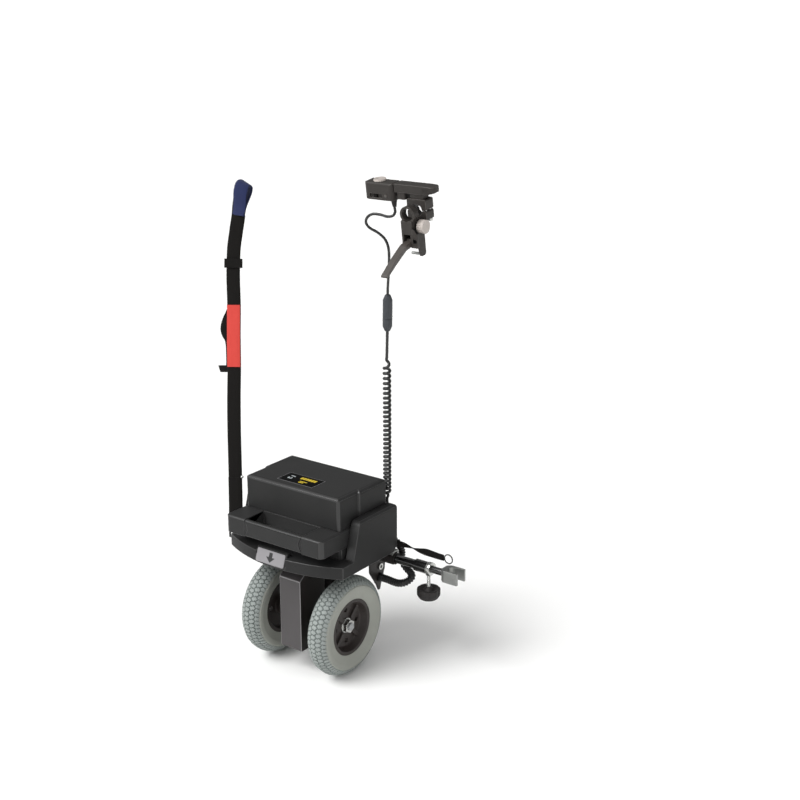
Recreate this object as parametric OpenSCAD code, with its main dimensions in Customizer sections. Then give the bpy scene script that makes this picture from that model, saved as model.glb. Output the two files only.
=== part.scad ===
// Power assist for an attendant-pushed wheelchair: a twin-wheel drive unit that swings on a telescopic
// mounting bar, a lift-off battery pack, a handset with its curly cord, and a lifting strap.
// Origin: the middle of the mounting bar's axis. X runs along the bar, Y points ahead, Z points up.
// Heights in the values below are above the floor and lengths along Y start at the wheel axle;
// from_bar() moves them to the origin.

/* [Wheels] */
// Outer radius of each tyre
wheel_r = 100; // [94:1:106]
// Width of each tyre
tyre_w = 46; // [42:1:50]
// Radius where the tyre sits on its rim
rim_r = 57; // [52:1:62]
// Distance from the centre plane to the middle of each wheel
wheel_x = 84; // [80:1:92]
// Thickness of the rim's web
rim_web = 8; // [5:1:12]
// Radius of the rim's hub
hub_r = 20; // [17:1:24]
// Diameter of the axle
axle_d = 15; // [12:0.5:17]
// Width across the flats of the axle nuts
nut_af = 24; // [20:1:28]
// Height of the axle nuts
nut_h = 9; // [6:1:12]

/* [Column and drive] */
// Width of the column between the wheels
column_w = 52; // [48:1:60]
// Wall of the column
column_wall = 3; // [2:0.5:4]
// Distance of the column's rear face behind the axle
column_rear = 64; // [58:1:70]
// Height of the column's bottom edge below the axle
column_drop = 50; // [49:1:54]
// Height of the column's rear face above the axle
column_rise = 101; // [90:1:110]
// Module of the worm drive
tooth_m = 2.5; // [2.3:0.1:2.6]
// Teeth on the worm wheel
wheel_teeth = 30; // [28:1:31]
// Pitch radius of the worm
worm_r = 10; // [9.5:0.5:11]
// Face width of the worm wheel
gear_face = 10; // [8:1:12]
// Diameter of the motor
motor_d = 66; // [60:1:70]
// Length of the motor with its end cap
motor_len = 84.5; // [80:0.5:90]
// Wall of the motor can
motor_wall = 3; // [2:0.5:4]
// Diameter of the motor shaft
shaft_d = 10; // [8:0.5:11]

/* [Housing] */
// Overall width of the base housing
housing_w = 280; // [272:1:290]
// Height of the foot rim round the deck
rim_h = 24; // [20:1:28]
// Distance of the foot rim's middle behind the axle
rim_rear = 108.5; // [104:0.5:114]
// Radius of the foot rim in plan
rim_arc_r = 301; // [270:1:340]
// Distance of the housing's front face ahead of the axle
housing_front = 96; // [96:1:102]
// Thickness of each side wing
wing_t = 20; // [16:1:22]
// Height of the wings above the deck
wing_h = 74; // [66:1:82]
// Distance of each wing's rear foot behind the axle
wing_rear = 42; // [36:1:46]
// Wall of the moulded housing
wall = 4; // [3:0.5:5]
// Width of the foot plate
push_w = 69; // [56:1:80]
// Offset of the foot plate's middle from the centre plane
push_x = -10; // [-20:1:20]
// Thickness of the foot plate
push_t = 1.2; // [0.8:0.1:2]
// Thickness of the chassis plate
chassis_t = 3; // [2:0.5:4]

/* [Battery pack] */
// Gap between the battery case and each wing
bay_gap = 1; // [0.5:0.1:2]
// Height of the case's rear step above the deck
step_lift = 23; // [20:1:26]
// Height of the case's rear step
step_h = 35; // [30:1:40]
// Distance of the step's rear face behind the axle
step_rear = 110; // [104:1:114]
// Distance of the lid's rear face behind the axle
lid_rear = 54; // [50:1:58]
// Height of the lid
lid_h = 65; // [58:1:72]
// Inset of the lid's rear part from the case
lid_inset = 4; // [2:0.5:6]
// Distance ahead of the axle where the lid grows to the case's width
lid_step_y = 5; // [-10:1:20]
// Wall of the case and the lid
case_wall = 3; // [2:0.5:4]
// Half width of the finger opening
finger_x = 70; // [60:1:80]
// Thickness of the carry handle
handle_t = 12; // [11:1:18]
// Length of one battery block
cell_len = 151; // [130:1:180]
// Depth of one battery block
cell_dep = 65; // [55:1:66]
// Height of one battery block
cell_h = 94; // [80:1:98]

/* [Mounting bar] */
// Distance of the bar's axis ahead of the tyres
bar_ahead = 10; // [8:1:14]
// Distance of the bar's axis below the housing
bar_drop = 26; // [24:1:30]
// Diameter of the bar's outer tube
bar_d = 18; // [17:0.5:20]
// Diameter of the sliding extensions
ext_d = 14; // [12:0.5:15]
// Bore of the tubular extensions
ext_bore = 10; // [8:0.5:11]
// Half length of the outer tube
bar_half = 198; // [194:1:204]
// Length of each extension outside its collar
ext_reach = 38; // [34:1:46]
// Length of each extension inside the outer tube
ext_in = 70; // [62:1:80]
// Diameter of the clamping collars
collar_d = 24; // [23:0.5:28]
// Length of the clamping collars
collar_len = 37; // [34:1:42]
// Diameter of the clamp knobs
knob_d = 46; // [40:1:50]
// Height of the clamp knobs
knob_h = 25; // [22:1:28]
// Diameter of the clamp knobs' studs
stud_d = 6; // [5:0.5:8]
// Length of the clamp knobs' studs below the extensions
stud_len = 31; // [26:1:36]
// Diameter of the frame tube that each end clamp takes
tube_d = 22; // [20:0.5:25]
// Height of the end clamps
end_clamp_h = 24; // [18:1:28]
// Distance from the centre plane to each pivot arm
arm_x = 86; // [84:1:92]
// Thickness of the pivot arms
arm_t = 4; // [3:0.5:5]
// Diameter of the pivot bushes' journals
bush_d = 24; // [23:0.5:26]

/* [Handset] */
// Diameter of the push handle that the handset clamps on
handle_d = 22; // [20:0.5:25]
// Width of the handset's clamp along the handle
clamp_w = 24; // [20:1:28]
// Width of the control pod
pod_w = 64; // [58:1:70]
// Depth of the control pod
pod_d = 30; // [28:1:34]
// Height of the control pod
pod_h = 31.5; // [28:0.5:34]
// Thickness of the control arm
arm_h = 15; // [12:1:17]
// Reach of the control arm on the outer side of the handle
arm_out = 38; // [32:1:44]
// Diameter of the speed dial
dial_d = 24; // [20:1:26]
// Height of the speed dial
dial_h = 3.5; // [3:0.5:6]
// Diameter of the lever's clamp knob
lever_knob_d = 24; // [20:1:26]
// Width of the drive lever
lever_w = 14; // [12:1:15]
// Length of the drive lever behind its pin
lever_len = 91; // [80:1:96]

/* [Strap and cords] */
// Width of the lifting strap
strap_w = 30; // [25:1:32]
// Thickness of the webbing
webbing_t = 1.6; // [1.2:0.1:2]
// Outside diameter of the curly cord's coil
curl_od = 16; // [14:0.5:18]
// Diameter of the curly cord
cord_d = 5; // [4:0.5:5.5]
// Turns in the curly cord
curls = 40; // [30:1:44]
// Diameter of the handset cable
cable_d = 5; // [4:0.5:6]
// Outside diameter of the ribbed loom
loom_d = 16; // [14:0.5:17]
// Bore of the ribbed loom
loom_bore = 10; // [8:0.5:11]
// Ribs on the loom
loom_ribs = 40; // [30:1:46]

/* [Hidden] */
$fn = 48;
round_fn = 96;
// Running clearance of pins and shafts, on the radius
run = 0.05;
// Clearance between pieces that only lie beside each other
fit = 0.3;
// Extra length of a cut so that it passes its faces
past = 1;
sides = [-1, 1];
// Corner radii, from a broken edge to a broad round
r_fine = 1;
r_small = 2;
r_soft = 3;
r_mid = 5;
r_round = 8;
r_broad = 12;

// Worm drive: a single-start worm on the upright motor shaft, ahead of the axle
axle_z = wheel_r;
axle_r = axle_d / 2;
gear_r = tooth_m * wheel_teeth / 2;
worm_pitch = PI * tooth_m;
tooth_add = 0.8 * tooth_m;
tooth_ded = tooth_m;
tooth_half = 0.21;
pressure_angle = 20;
worm_half = 18;
worm_room = 4;
worm_wall = 10;
shaft_tail = 8;
drive_y = gear_r + worm_r;
gear_room = 2.5;
gear_wall = 5.5;
case_r = gear_r + tooth_add + gear_room + gear_wall;
case_foot = axle_z - worm_half - shaft_tail - r_mid;
case_top = axle_z + case_r;
motor_r = motor_d / 2;
shaft_r = shaft_d / 2;
cap_h = 6;
cap_spigot = 4;
magnet_t = 6;
magnet_end = 12;
magnet_open = 9;
core_gap = 10;
brush_room = 22;
brush_h = 9;
motor_top = case_top + motor_len;
bearing_r = 16;
bearing_w = 9;
bearing_race = 2.5;

// Column and housing stand on the motor's height
plate_z = motor_top + r_soft;
deck_z = plate_z + chassis_t;
deck_top = deck_z + rim_h;
column_half = column_w / 2;
column_in = column_half - column_wall;
column_bottom = axle_z - column_drop;
column_knee = axle_z + column_rise;
column_lean = 20;
column_front = drive_y - 16;
column_neck = drive_y - motor_r - 4;
bearing_x = column_in - bearing_w - 2;

// Wheels
rim_w = tyre_w - 12;
rim_lip = 7;
rim_dish = 14;
spoke_w = 8;
vent_r = 5;
tyre_bulge = 20;
hub_face = wheel_x + 2;
washer_t = 2;
washer_rim = 3;
nut_end = hub_face + washer_t + nut_h;
axle_end = nut_end + 3;

// Base housing
housing_half = housing_w / 2;
wing_top = deck_top + wing_h;
wing_in = housing_half - wing_t;
wing_lean = 20;
wing_notch = 16;
front_drop = 8;
// The foot pad's slope rises from the rim's face to a ridge above the deck
push_lift = 4;
push_rise = 31;
push_lean = 10;
push_ridge = 7;
push_back = 16;
push_edge = 2.5;
push_half = push_w / 2 + push_edge;
push_foot = -rim_rear - 1;
boss_x = 80;
boss_ys = [-40, 75];
boss_r = 7;
controller_w = 100;
controller_d = 74;
controller_at = [-10, 3];
fin_pitch = 15;
fin_w = 6;
fin_depth = 4;
fins = 6;

// Battery pack
case_half = wing_in - bay_gap;
case_foot_y = -lid_rear + 3;
case_front = housing_front - wall - bay_gap;
case_bottom = deck_top;
case_tuck = 3;
step_z = deck_top + step_lift;
case_top_z = step_z + step_h;
lid_half = case_half - lid_inset;
lid_top = case_top_z + lid_h;
lid_front = case_front - 2;
lid_round = 9;
bulge_r = 18;
bulge_set = 12;
bulge_z = (step_z + case_top_z) / 2;
handle_lip = 5;
handle_dip = 10;
socket_size = [40, 16, 8];
socket_y = 60;
pocket_x = socket_size[0] / 2 + 1;
pocket_y = socket_size[1] / 2 + 1;
pocket_top = deck_top + socket_size[2] + 1;
// The rear block stands on the case's floor, the front one on the socket's pocket
cell_seats = [case_bottom + case_wall, pocket_top + case_wall];
blade_x = 10;
blade_w = 6;
blade_h = 6;
blade_t = 2;

// Mounting bar
bar_y = wheel_r + bar_ahead;
bar_z = deck_z - bar_drop;
bar_r = bar_d / 2;
ext_r = ext_d / 2;
collar_in = bar_half - 23;
collar_out = collar_in + collar_len;
ext_end = collar_out + ext_reach;
stud_r = stud_d / 2;
stud_x = collar_out - 7;
knob_top = bar_z - ext_r - stud_len;
knob_rim = 4;
knob_hub = 8;
flute_r = 7;
flutes = 6;
tube_x = ext_end + 12;
jaw_t = 5;
jaw_len = 18;
jaw_neck = 9;
arm_out_x = arm_x + arm_t;
bush_r = bush_d / 2;
bush_ribs = 7;
rib_h = 1.5;
rib_pitch = 5;
bush_out = arm_out_x + 38;
saddle_half = 10;
saddle_rise = 4.5;
cross_y = bar_y - 4;
cross_z = bar_z - 25;
cross_r = 5.5;
cross_bore = 4;
// The arms' rear edges keep clear of the tyres
arm_clear = wheel_r + 8;
arm_back = 38;
arm_front = 16;
arm_waist = 34;
arm_shin = 66;
arm_toe = [arm_clear * cos(20), axle_z + arm_clear * sin(20)];
arm_heel = [arm_clear * cos(27), axle_z + arm_clear * sin(27)];

// Handset: its own axes sit on the handle's axis, which rises towards the front
handset_at = [215, 62, 917];
handset_tilt = 8.5;
handle_r = handle_d / 2;
clamp_wall = 6;
clamp_lug = 9;
clamp_split = 0.5;
clamp_top = handle_r + clamp_wall + 3;
clamp_low = -handle_r - clamp_wall;
bolt_r = 2.5;
bolt_head_r = 4.5;
bolt_head_h = 4;
bolt_x = handle_r + clamp_lug / 2;
bolt_y = clamp_w / 2 - 6;
arm_in = 46;
arm_lift = 8.5;
arm_low = clamp_top + arm_lift;
arm_post = [14, 10];
arm_block = [-42, -24];
arm_block_drop = 13;
arm_nose = 4;
pod_in = -arm_in;
pod_z = arm_low + arm_h - pod_h;
pod_round = 10;
dial_x = pod_in - pod_w / 2 - r_mid;
dial_stem_r = 4;
dial_stem = 5;
grip_r = 1.2;
switch_x = pod_in - pod_w + 26;
switch_slot = [27, 4, 7];
switch_size = [7, 3.2, 6];
gland_x = pod_in - 10;
gland_len = 14;
gland_neck = 3.5;
gland_r = 6;
lever_y = -34;
lever_z = -50;
lever_pin_d = 5;
lever_boss_r = 7;
lever_box_w = 22;
lever_box_d = 24;
lever_slot = lever_w + 0.6;
lever_band = 14;
lever_band_t = 4;
lever_reach = 40;
lever_plate_drop = 28;
blade_step = 0.5;
knob_stem_r = 3;
lever_knob_r = lever_knob_d / 2;
lever_knob_t = 13;
knob_y = -clamp_w / 2 - lever_knob_r - 2 * fit;
knob_z = -23;
knob_x = lever_box_w / 2 + 3;

// Routes. The strap's X is measured from the housing's left side
strap_bar_z = deck_top + 10;
strap_x = -housing_half;
strap_y = -61;
wire_r = 2;
hook_in = 16;
hook_out = -15;
strap_route = [
    [strap_x + 1, strap_y, strap_bar_z + 2.3], [strap_x + 1, strap_y, strap_bar_z + 12],
    [strap_x - 3, -54, strap_bar_z + 36], [strap_x - 17, -37, 390], [strap_x - 28, -24, 457],
    [strap_x - 37, -12, 513], [strap_x - 44, 0, 577], [strap_x - 53, 12, 637], [strap_x - 61, 24, 694],
    [strap_x - 69, 33, 743], [strap_x - 73, 40, 780], [strap_x - 74, 45, 808], [strap_x - 71, 53, 850],
    [strap_x - 71, 57, 865]
];
cable_route = [
    [159, 62.3, 915], [159, 63.04, 910.05], [159, 63.78, 905.1], [155, 62.5, 898.5], [146, 58.5, 896.5],
    [133, 55, 899], [119, 51, 899.5], [109, 48, 893], [106, 48, 883], [113, 50, 874], [128, 55, 866],
    [140, 60, 854], [146, 62, 836], [146, 62.5, 805], [143.6, 62.2, 768.8], [142.8, 63.1, 760.9], [142, 64, 753]
];
lead_top = [135, 72, 683];
coil_top = [129, 78, 622];
cord_socket_h = 24;
cord_socket_r = 9;
cord_socket_bore = 6;
cord_lug = 12;
socket_top = deck_top + 60;
coil_foot = [wing_in - 11, housing_front + cord_socket_r, socket_top + 14];
// The loom's points are measured from the bar's axis
loom_route = [for (p = [
        [arm_out_x + 4, -5, -48], [102, -5, -48], [110, -5, -48], [122, -6, -48.5], [135, -8, -47.5],
        [148, -8.5, -44], [158, -4.5, -38.5], [161.5, 3, -32.5], [156, 10, -28], [142, 16, -24], [128, 22, -18],
        [121, 27, -9], [120, 28.5, 1], [118, 27, 11], [114, 23, 21], [108, 16, 30], [wing_in - 16, 6, 35],
        [wing_in - 16, -2, 35], [wing_in - 16, housing_front + 4 - bar_y, 35]])
    [p[0], bar_y + p[1], bar_z + p[2]]];
gland_rim = 1.4;
gland_bite = 3;
tether_route = [for (p = [
        [housing_half - 13, housing_front + 1.5 - bar_y, 40], [150, -4, 36], [176, -1, 33], [202, 0, 32], [226, 0, 31],
        [240, 0, 31]])
    [p[0], bar_y + p[1], bar_z + p[2]]];
tether_w = 13;
tether_twist = [0, 20, 80, 150, 175, 180];
tether_ring_r = 9;
ring_wire_r = 1.2;

// Moves from the floor and axle to the middle of the bar
module from_bar() translate([0, -bar_y, -bar_z]) children();

// Moves to the middle of the bar from its own axis
module on_bar(s = 1) rotate([0, 0, s > 0 ? 0 : 180]) children();

// Moves from the bar's frame to the handle's axis in the handset
module on_handle() from_bar() translate(handset_at) rotate([handset_tilt, 0, 0]) children();

// Outline with rounded corners: each point is [x, y, radius]
function unit(v) = v / norm(v);
function corner(a, b, c, n) =
    let(u = unit([a[0] - b[0], a[1] - b[1]]),
        v = unit([c[0] - b[0], c[1] - b[1]]),
        half = acos(max(-1, min(1, u * v))) / 2,
        centre = [b[0], b[1]] + unit(u + v) * b[2] / sin(half),
        foot = [b[0], b[1]] + u * b[2] / tan(half) - centre,
        turn = (u[0] * v[1] - u[1] * v[0]) > 0 ? -1 : 1,
        sweep = turn * (180 - 2 * half),
        start = atan2(foot[1], foot[0]))
    [for (i = [0:n]) centre + b[2] * [cos(start + sweep * i / n), sin(start + sweep * i / n)]];
function rounded(pts, n = 5) =
    [for (i = [0:len(pts) - 1])
        let(b = pts[i])
        each (b[2] > 0
            ? corner(pts[(i + len(pts) - 1) % len(pts)], b, pts[(i + 1) % len(pts)], n)
            : [[b[0], b[1]]])];
function rect(x0, y0, x1, y1, r) = rounded([[x0, y0, r], [x1, y0, r], [x1, y1, r], [x0, y1, r]]);

// Prisms along each axis; the outline of along_x is in Y and Z, that of along_y in X and Z
module along_x(x0, x1, pts) translate([x0, 0, 0]) rotate([90, 0, 90]) linear_extrude(x1 - x0) polygon(pts);
module along_y(y0, y1, pts) translate([0, y1, 0]) rotate([90, 0, 0]) linear_extrude(y1 - y0) polygon(pts);
module along_z(z0, z1, pts) translate([0, 0, z0]) linear_extrude(z1 - z0) polygon(pts);
module rod_x(x0, x1, r) translate([x0, 0, 0]) rotate([0, 90, 0]) cylinder(h = x1 - x0, r = r);
module rod_y(y0, y1, r) translate([0, y1, 0]) rotate([90, 0, 0]) cylinder(h = y1 - y0, r = r);
// Rod from one distance to another on one side of the centre plane
module rod_side(s, x0, x1, r) rod_x(s > 0 ? x0 : -x1, s > 0 ? x1 : -x0, r);
module along_side(s, x0, x1, pts) along_x(s > 0 ? x0 : -x1, s > 0 ? x1 : -x0, pts);

// Box with every edge along two axes rounded
module soft_box(low, high, plan_r, side_r) intersection() {
    along_z(low[2], high[2], rect(low[0], low[1], high[0], high[1], plan_r));
    along_y(low[1], high[1], rounded([
        [low[0], low[2], 0], [high[0], low[2], 0], [high[0], high[2], side_r], [low[0], high[2], side_r]]));
    along_x(low[0], high[0], rounded([
        [low[1], low[2], 0], [high[1], low[2], 0], [high[1], high[2], side_r], [low[1], high[2], side_r]]));
}

// Sweeps: a path's tangents, carried normals and rings
function tangent(p, i) = unit(p[min(i + 1, len(p) - 1)] - p[max(i - 1, 0)]);
function across(t) = unit(cross(t, abs(t[2]) < 0.9 ? [0, 0, 1] : [1, 0, 0]));
function carried(p, i = 0, last = [0, 0, 0], list = []) =
    i == len(p) ? list
    : let(t = tangent(p, i), n = i == 0 ? across(t) : unit(last - (last * t) * t))
      carried(p, i + 1, n, concat(list, [n]));
function ring(p, t, n, r, k) =
    let(b = cross(t, n)) [for (j = [0:k - 1]) p + r * (cos(360 * j / k) * n + sin(360 * j / k) * b)];
function skin(rings, k, first, flip) =
    [for (i = [0:rings - 2], j = [0:k - 1])
        let(a = first + i * k + j, b = first + i * k + (j + 1) % k, c = a + k, d = b + k)
        each (flip ? [[a, c, b], [b, c, d]] : [[a, b, c], [b, d, c]])];
function cap(first, k, flip) =
    [for (j = [1:k - 2]) flip ? [first, first + j, first + j + 1] : [first, first + j + 1, first + j]];
module tube(path, radii, k) {
    normals = carried(path);
    points = [for (i = [0:len(path) - 1]) each ring(path[i], tangent(path, i), normals[i], radii[i], k)];
    faces = concat(skin(len(path), k, 0, true), cap(0, k, true), cap((len(path) - 1) * k, k, false));
    polyhedron(points, faces);
}
// Smooth curve through chosen points
function spline_at(p, i, t) =
    let(a = p[max(i - 1, 0)], b = p[i], c = p[i + 1], d = p[min(i + 2, len(p) - 1)])
    0.5 * (2 * b + (c - a) * t + (2 * a - 5 * b + 4 * c - d) * t * t + (3 * b - a - 3 * c + d) * t * t * t);
function smooth(p, n) =
    concat([for (i = [0:len(p) - 2], s = [0:n - 1]) spline_at(p, i, s / n)], [p[len(p) - 1]]);
function same(value, n) = [for (i = [1:n]) value];
// Flat webbing along a path: width along wide, turned by twist about the path
module webbing(path, wide, w, t, twist, shift = 0) {
    points = [for (i = [0:len(path) - 1])
        let(d = tangent(path, i),
            u0 = unit(wide - (wide * d) * d),
            v0 = cross(d, u0),
            u = cos(twist[i]) * u0 + sin(twist[i]) * v0,
            v = cross(d, u),
            c = path[i] + shift * v)
        each [c - u * w / 2 - v * t / 2, c + u * w / 2 - v * t / 2,
              c + u * w / 2 + v * t / 2, c - u * w / 2 + v * t / 2]];
    polyhedron(points, concat(skin(len(path), 4, 0, true), cap(0, 4, true), cap((len(path) - 1) * 4, 4, false)));
}

// Curly cord: a straight lead, the turns, and a straight end down into its socket
curl_steps = 8;
curl_r = (curl_od - cord_d) / 2;
function curl_point(i) =
    let(n = curls * curl_steps,
        s = i / n,
        ease = min(1, min(i, n - i) / curl_steps),
        axis = unit(coil_foot - coil_top),
        u = across(axis),
        v = cross(axis, u),
        a = 360 * i / curl_steps)
    coil_top + s * (coil_foot - coil_top) + ease * curl_r * (cos(a) * u + sin(a) * v);
lead_in = 2 * cord_d * unit(lead_top - coil_top);
cord_path = concat(
    [lead_top, lead_top - lead_in, coil_top + lead_in],
    [for (i = [0:curls * curl_steps]) curl_point(i)],
    [[coil_foot[0], coil_foot[1], socket_top + cord_d], [coil_foot[0], coil_foot[1], socket_top]]
);
// Least gap between neighbouring turns, measured on the path's points
cord_gap = min([for (i = [curl_steps * 2:curls * curl_steps - curl_steps], k = [curl_steps - 2:curl_steps + 2])
    norm(curl_point(i) - curl_point(i - k))]) - cord_d;
echo(curly_cord_gap = cord_gap);

// Ribbed loom: two rings for each rib, and a plain bore
loom_curve = smooth(loom_route, 12);
function loom_at(s) =
    let(n = len(loom_curve) - 1, i = min(floor(s * n), n - 1))
    loom_curve[i] + (s * n - i) * (loom_curve[i + 1] - loom_curve[i]);
loom_path = [for (i = [0:2 * loom_ribs]) loom_at(i / (2 * loom_ribs))];
loom_groove = 1.8;
loom_gap = min([for (i = [0:len(loom_path) - 41], k = [40:8:len(loom_path) - 1 - i])
    norm(loom_path[i] - loom_path[i + k])]) - loom_d;
echo(loom_gap = loom_gap);
module loom_pipe(k = 8, thin = 4) {
    normals = carried(loom_path);
    last = len(loom_path) - 1;
    inner = [for (i = [0:thin:last]) i];
    outer_points = [for (i = [0:last])
        let(r = loom_d / 2 - (i % 2 == 0 ? loom_groove : 0))
        each ring(loom_path[i], tangent(loom_path, i), normals[i], r, k)];
    inner_points = [for (i = inner) each ring(loom_path[i], tangent(loom_path, i), normals[i], loom_bore / 2, k)];
    first = len(outer_points);
    ends = [for (j = [0:k - 1])
        let(b = (j + 1) % k, o = last * k, e = first + (len(inner) - 1) * k)
        each [[j, b, first + j], [b, first + b, first + j],
              [o + j, e + j, o + b], [o + b, e + j, e + b]]];
    polyhedron(
        concat(outer_points, inner_points),
        concat(skin(last + 1, k, 0, true), skin(len(inner), k, first, false), ends));
}

// Base housing: a D-shaped deck with a foot rim at the back and a hollow wing on each side
module deck_plan(inset) intersection() {
    translate([-housing_half + inset, -rim_rear + inset])
        square([housing_w - 2 * inset, housing_front + rim_rear - 2 * inset]);
    translate([0, -rim_rear + rim_arc_r]) circle(rim_arc_r - inset, $fn = round_fn);
}
function wing_outline(inset) = rounded([
    [-wing_rear + inset, deck_z, 0], [-wing_rear + inset, deck_top + inset, 4],
    [-wing_rear + wing_lean + inset, wing_top - inset, r_broad - inset],
    [housing_front - inset, wing_top - inset, r_round - inset], [housing_front - inset, deck_z, 0]]);
module housing_body() {
    translate([0, 0, deck_z]) linear_extrude(rim_h) deck_plan(0);
    intersection() {
        for (s = sides) along_side(s, wing_in, housing_half, wing_outline(0));
        along_y(-rim_rear, housing_front, rounded([
            [-housing_half, deck_z, 0], [housing_half, deck_z, 0],
            [housing_half, wing_top, r_round], [-housing_half, wing_top, r_round]]));
    }
    along_y(housing_front - wall, housing_front,
        rect(-wing_in - past, deck_z, wing_in + past, wing_top - front_drop, r_soft));
}
// Foot pad: a wedge on the rim, with the slope that the foot plate lies on
module push_pad() along_x(push_x - push_half, push_x + push_half, rounded([
    [push_foot, deck_z + push_lift, r_fine], [push_foot + push_lean, deck_z + push_rise, r_small],
    [push_foot + push_lean + push_ridge, deck_z + push_rise + 1, r_soft],
    [push_foot + push_lean + push_back, deck_top - 1, 0],
    [push_foot + push_lean + push_back, deck_top - wall, 0],
    [push_foot + wall + push_lean, deck_top - wall, 0], [push_foot + wall + r_small, deck_z + push_lift, r_fine]]));
module base_housing() color("#2e2e30") from_bar() {
    difference() {
        housing_body();
        translate([0, 0, deck_z - past]) linear_extrude(rim_h - wall + past) deck_plan(wall);
        for (s = sides) along_side(s, wing_in + wall, housing_half - wall, wing_outline(wall));
        for (s = sides) translate([s * (wing_in + wing_t / 2), housing_front, deck_z])
            rotate([45, 0, 0]) cube([wing_t + 2 * past, wing_notch, wing_notch], center = true);
        along_x(push_x - push_half + r_fine, push_x + push_half - r_fine, [
            [push_foot - past, deck_z + push_lift + 1], [push_foot + 1, deck_z + push_lift + 1],
            [push_foot + push_lean + 1, deck_z + push_rise + 1], [push_foot - past, deck_z + push_rise + 1]]);
    }
    push_pad();
    for (x = sides * boss_x, y = boss_ys) translate([x, y, deck_z]) cylinder(h = rim_h - wall, r = boss_r);
}

// Foot plate: flat on the pad's slope, so that a foot lowers the wheels
module push_plate() color("#c9c8ca") from_bar() {
    fall = push_rise - push_lift;
    slope = norm([push_lean, fall]);
    translate([push_x, push_foot, deck_z + push_lift]) rotate([90 - atan(push_lean / fall), 0, 0])
        along_z(0, push_t, rect(-push_w / 2, 1, push_w / 2, slope - r_small, r_soft));
}

// Chassis: a plate under the deck, two pivot arms with a cross tube, and the column
module chassis_plate() color("#2b2a2a") from_bar()
    along_z(plate_z, deck_z, rect(-arm_out_x, -column_rear + 6, arm_out_x, bar_y + r_round, r_round));

module pivot_frame() color("#2b2625") from_bar() {
    difference() {
        for (s = sides) along_side(s, arm_x, arm_out_x, rounded([
            [bar_y - arm_back, plate_z, 0], [bar_y + arm_front / 2, plate_z, 0],
            [bar_y + arm_front, bar_z + r_round, r_mid], [bar_y + arm_front, bar_z - r_mid, r_round],
            [bar_y + arm_front - 4, bar_z - arm_waist, r_round], [bar_y - 1, bar_z - arm_shin, r_mid],
            [arm_toe[0] + 5, arm_toe[1], r_small], [arm_toe[0], arm_toe[1], r_small],
            [arm_heel[0], arm_heel[1], r_round], [bar_y - arm_back + 2, bar_z - arm_waist + 4, r_round]]));
        translate([0, bar_y, bar_z]) rod_x(-arm_out_x - past, arm_out_x + past, bush_r + run);
    }
    translate([0, cross_y, cross_z]) difference() {
        rod_x(-arm_out_x - 2, arm_out_x + 2, cross_r);
        rod_x(-arm_out_x - 2 - past, arm_out_x + 2 + past, cross_bore);
    }
}

module column() color("#5a5758") from_bar() difference() {
    along_x(-column_half, column_half, rounded([
        [-column_rear, column_bottom, r_soft], [column_front, column_bottom, r_broad],
        [column_front, axle_z + 20, r_round], [column_neck, axle_z + 38, r_soft], [column_neck, plate_z, 0],
        [-column_rear + column_lean, plate_z, 0], [-column_rear + column_lean, column_knee + 12, 0],
        [-column_rear + r_soft, column_knee, 0], [-column_rear, column_knee - r_soft, 0]]));
    along_x(-column_in, column_in, [
        [-column_rear + column_wall, column_bottom - past], [drive_y, column_bottom - past],
        [drive_y, plate_z + past], [-column_rear + column_lean + column_wall, plate_z + past],
        [-column_rear + column_lean + column_wall, column_knee + 10],
        [-column_rear + column_wall, column_knee - r_soft]]);
    translate([0, 0, axle_z]) rod_x(-column_half - past, column_half + past, axle_r + 3);
}

// Gear case: two halves that meet on the centre plane and seat between the column's cheeks
module gear_case(s) color("#8d9092") from_bar() difference() {
    union() {
        translate([0, 0, axle_z]) rod_side(s, 0, column_in, case_r);
        along_side(s, 0, column_in, rect(0, case_foot, drive_y + worm_r + worm_wall, case_top, r_soft));
    }
    translate([0, 0, axle_z]) {
        rod_x(-gear_face / 2 - 3, gear_face / 2 + 3, case_r - gear_wall);
        rod_x(-column_half, column_half, axle_r + 2);
        for (t = sides) rod_side(t, bearing_x, bearing_x + bearing_w, bearing_r);
    }
    translate([0, drive_y, axle_z - worm_half - worm_room]) {
        cylinder(h = 2 * (worm_half + worm_room), r = worm_r + tooth_add + 2);
        translate([0, 0, worm_room - shaft_tail - 1]) cylinder(h = case_top, r = shaft_r + run);
    }
}

module axle_bearings() color("#c4c6c8") from_bar() translate([0, 0, axle_z]) for (s = sides)
    translate([s > 0 ? bearing_x : -bearing_x - bearing_w, 0, 0]) rotate([0, 90, 0]) rotate_extrude() polygon([
        [axle_r + run, 0], [axle_r + bearing_race, 0], [axle_r + bearing_race, 1], [bearing_r - bearing_race, 1],
        [bearing_r - bearing_race, 0], [bearing_r, 0], [bearing_r, bearing_w], [bearing_r - bearing_race, bearing_w],
        [bearing_r - bearing_race, bearing_w - 1], [axle_r + bearing_race, bearing_w - 1],
        [axle_r + bearing_race, bearing_w], [axle_r + run, bearing_w]]);

// Motor: a can with its two magnets bonded in, an end cap, and the armature whose shaft carries the worm
module motor_can() color("#3a3c3e") from_bar() translate([0, drive_y, case_top]) {
    can_h = motor_len - cap_h;
    can_in = motor_r - motor_wall;
    difference() {
        cylinder(h = can_h, r = motor_r);
        translate([0, 0, motor_wall]) cylinder(h = can_h, r = can_in);
        translate([0, 0, -past]) cylinder(h = can_h, r = shaft_r + run);
    }
    for (a = [0, 180]) rotate([0, 0, a]) translate([0, 0, magnet_end]) difference() {
        cylinder(h = can_h - 2 * magnet_end, r = can_in);
        translate([0, 0, -past]) cylinder(h = can_h, r = can_in - magnet_t);
        translate([-motor_r, -motor_r, -past]) cube([2 * motor_r, motor_r + magnet_open, can_h]);
    }
}

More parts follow.
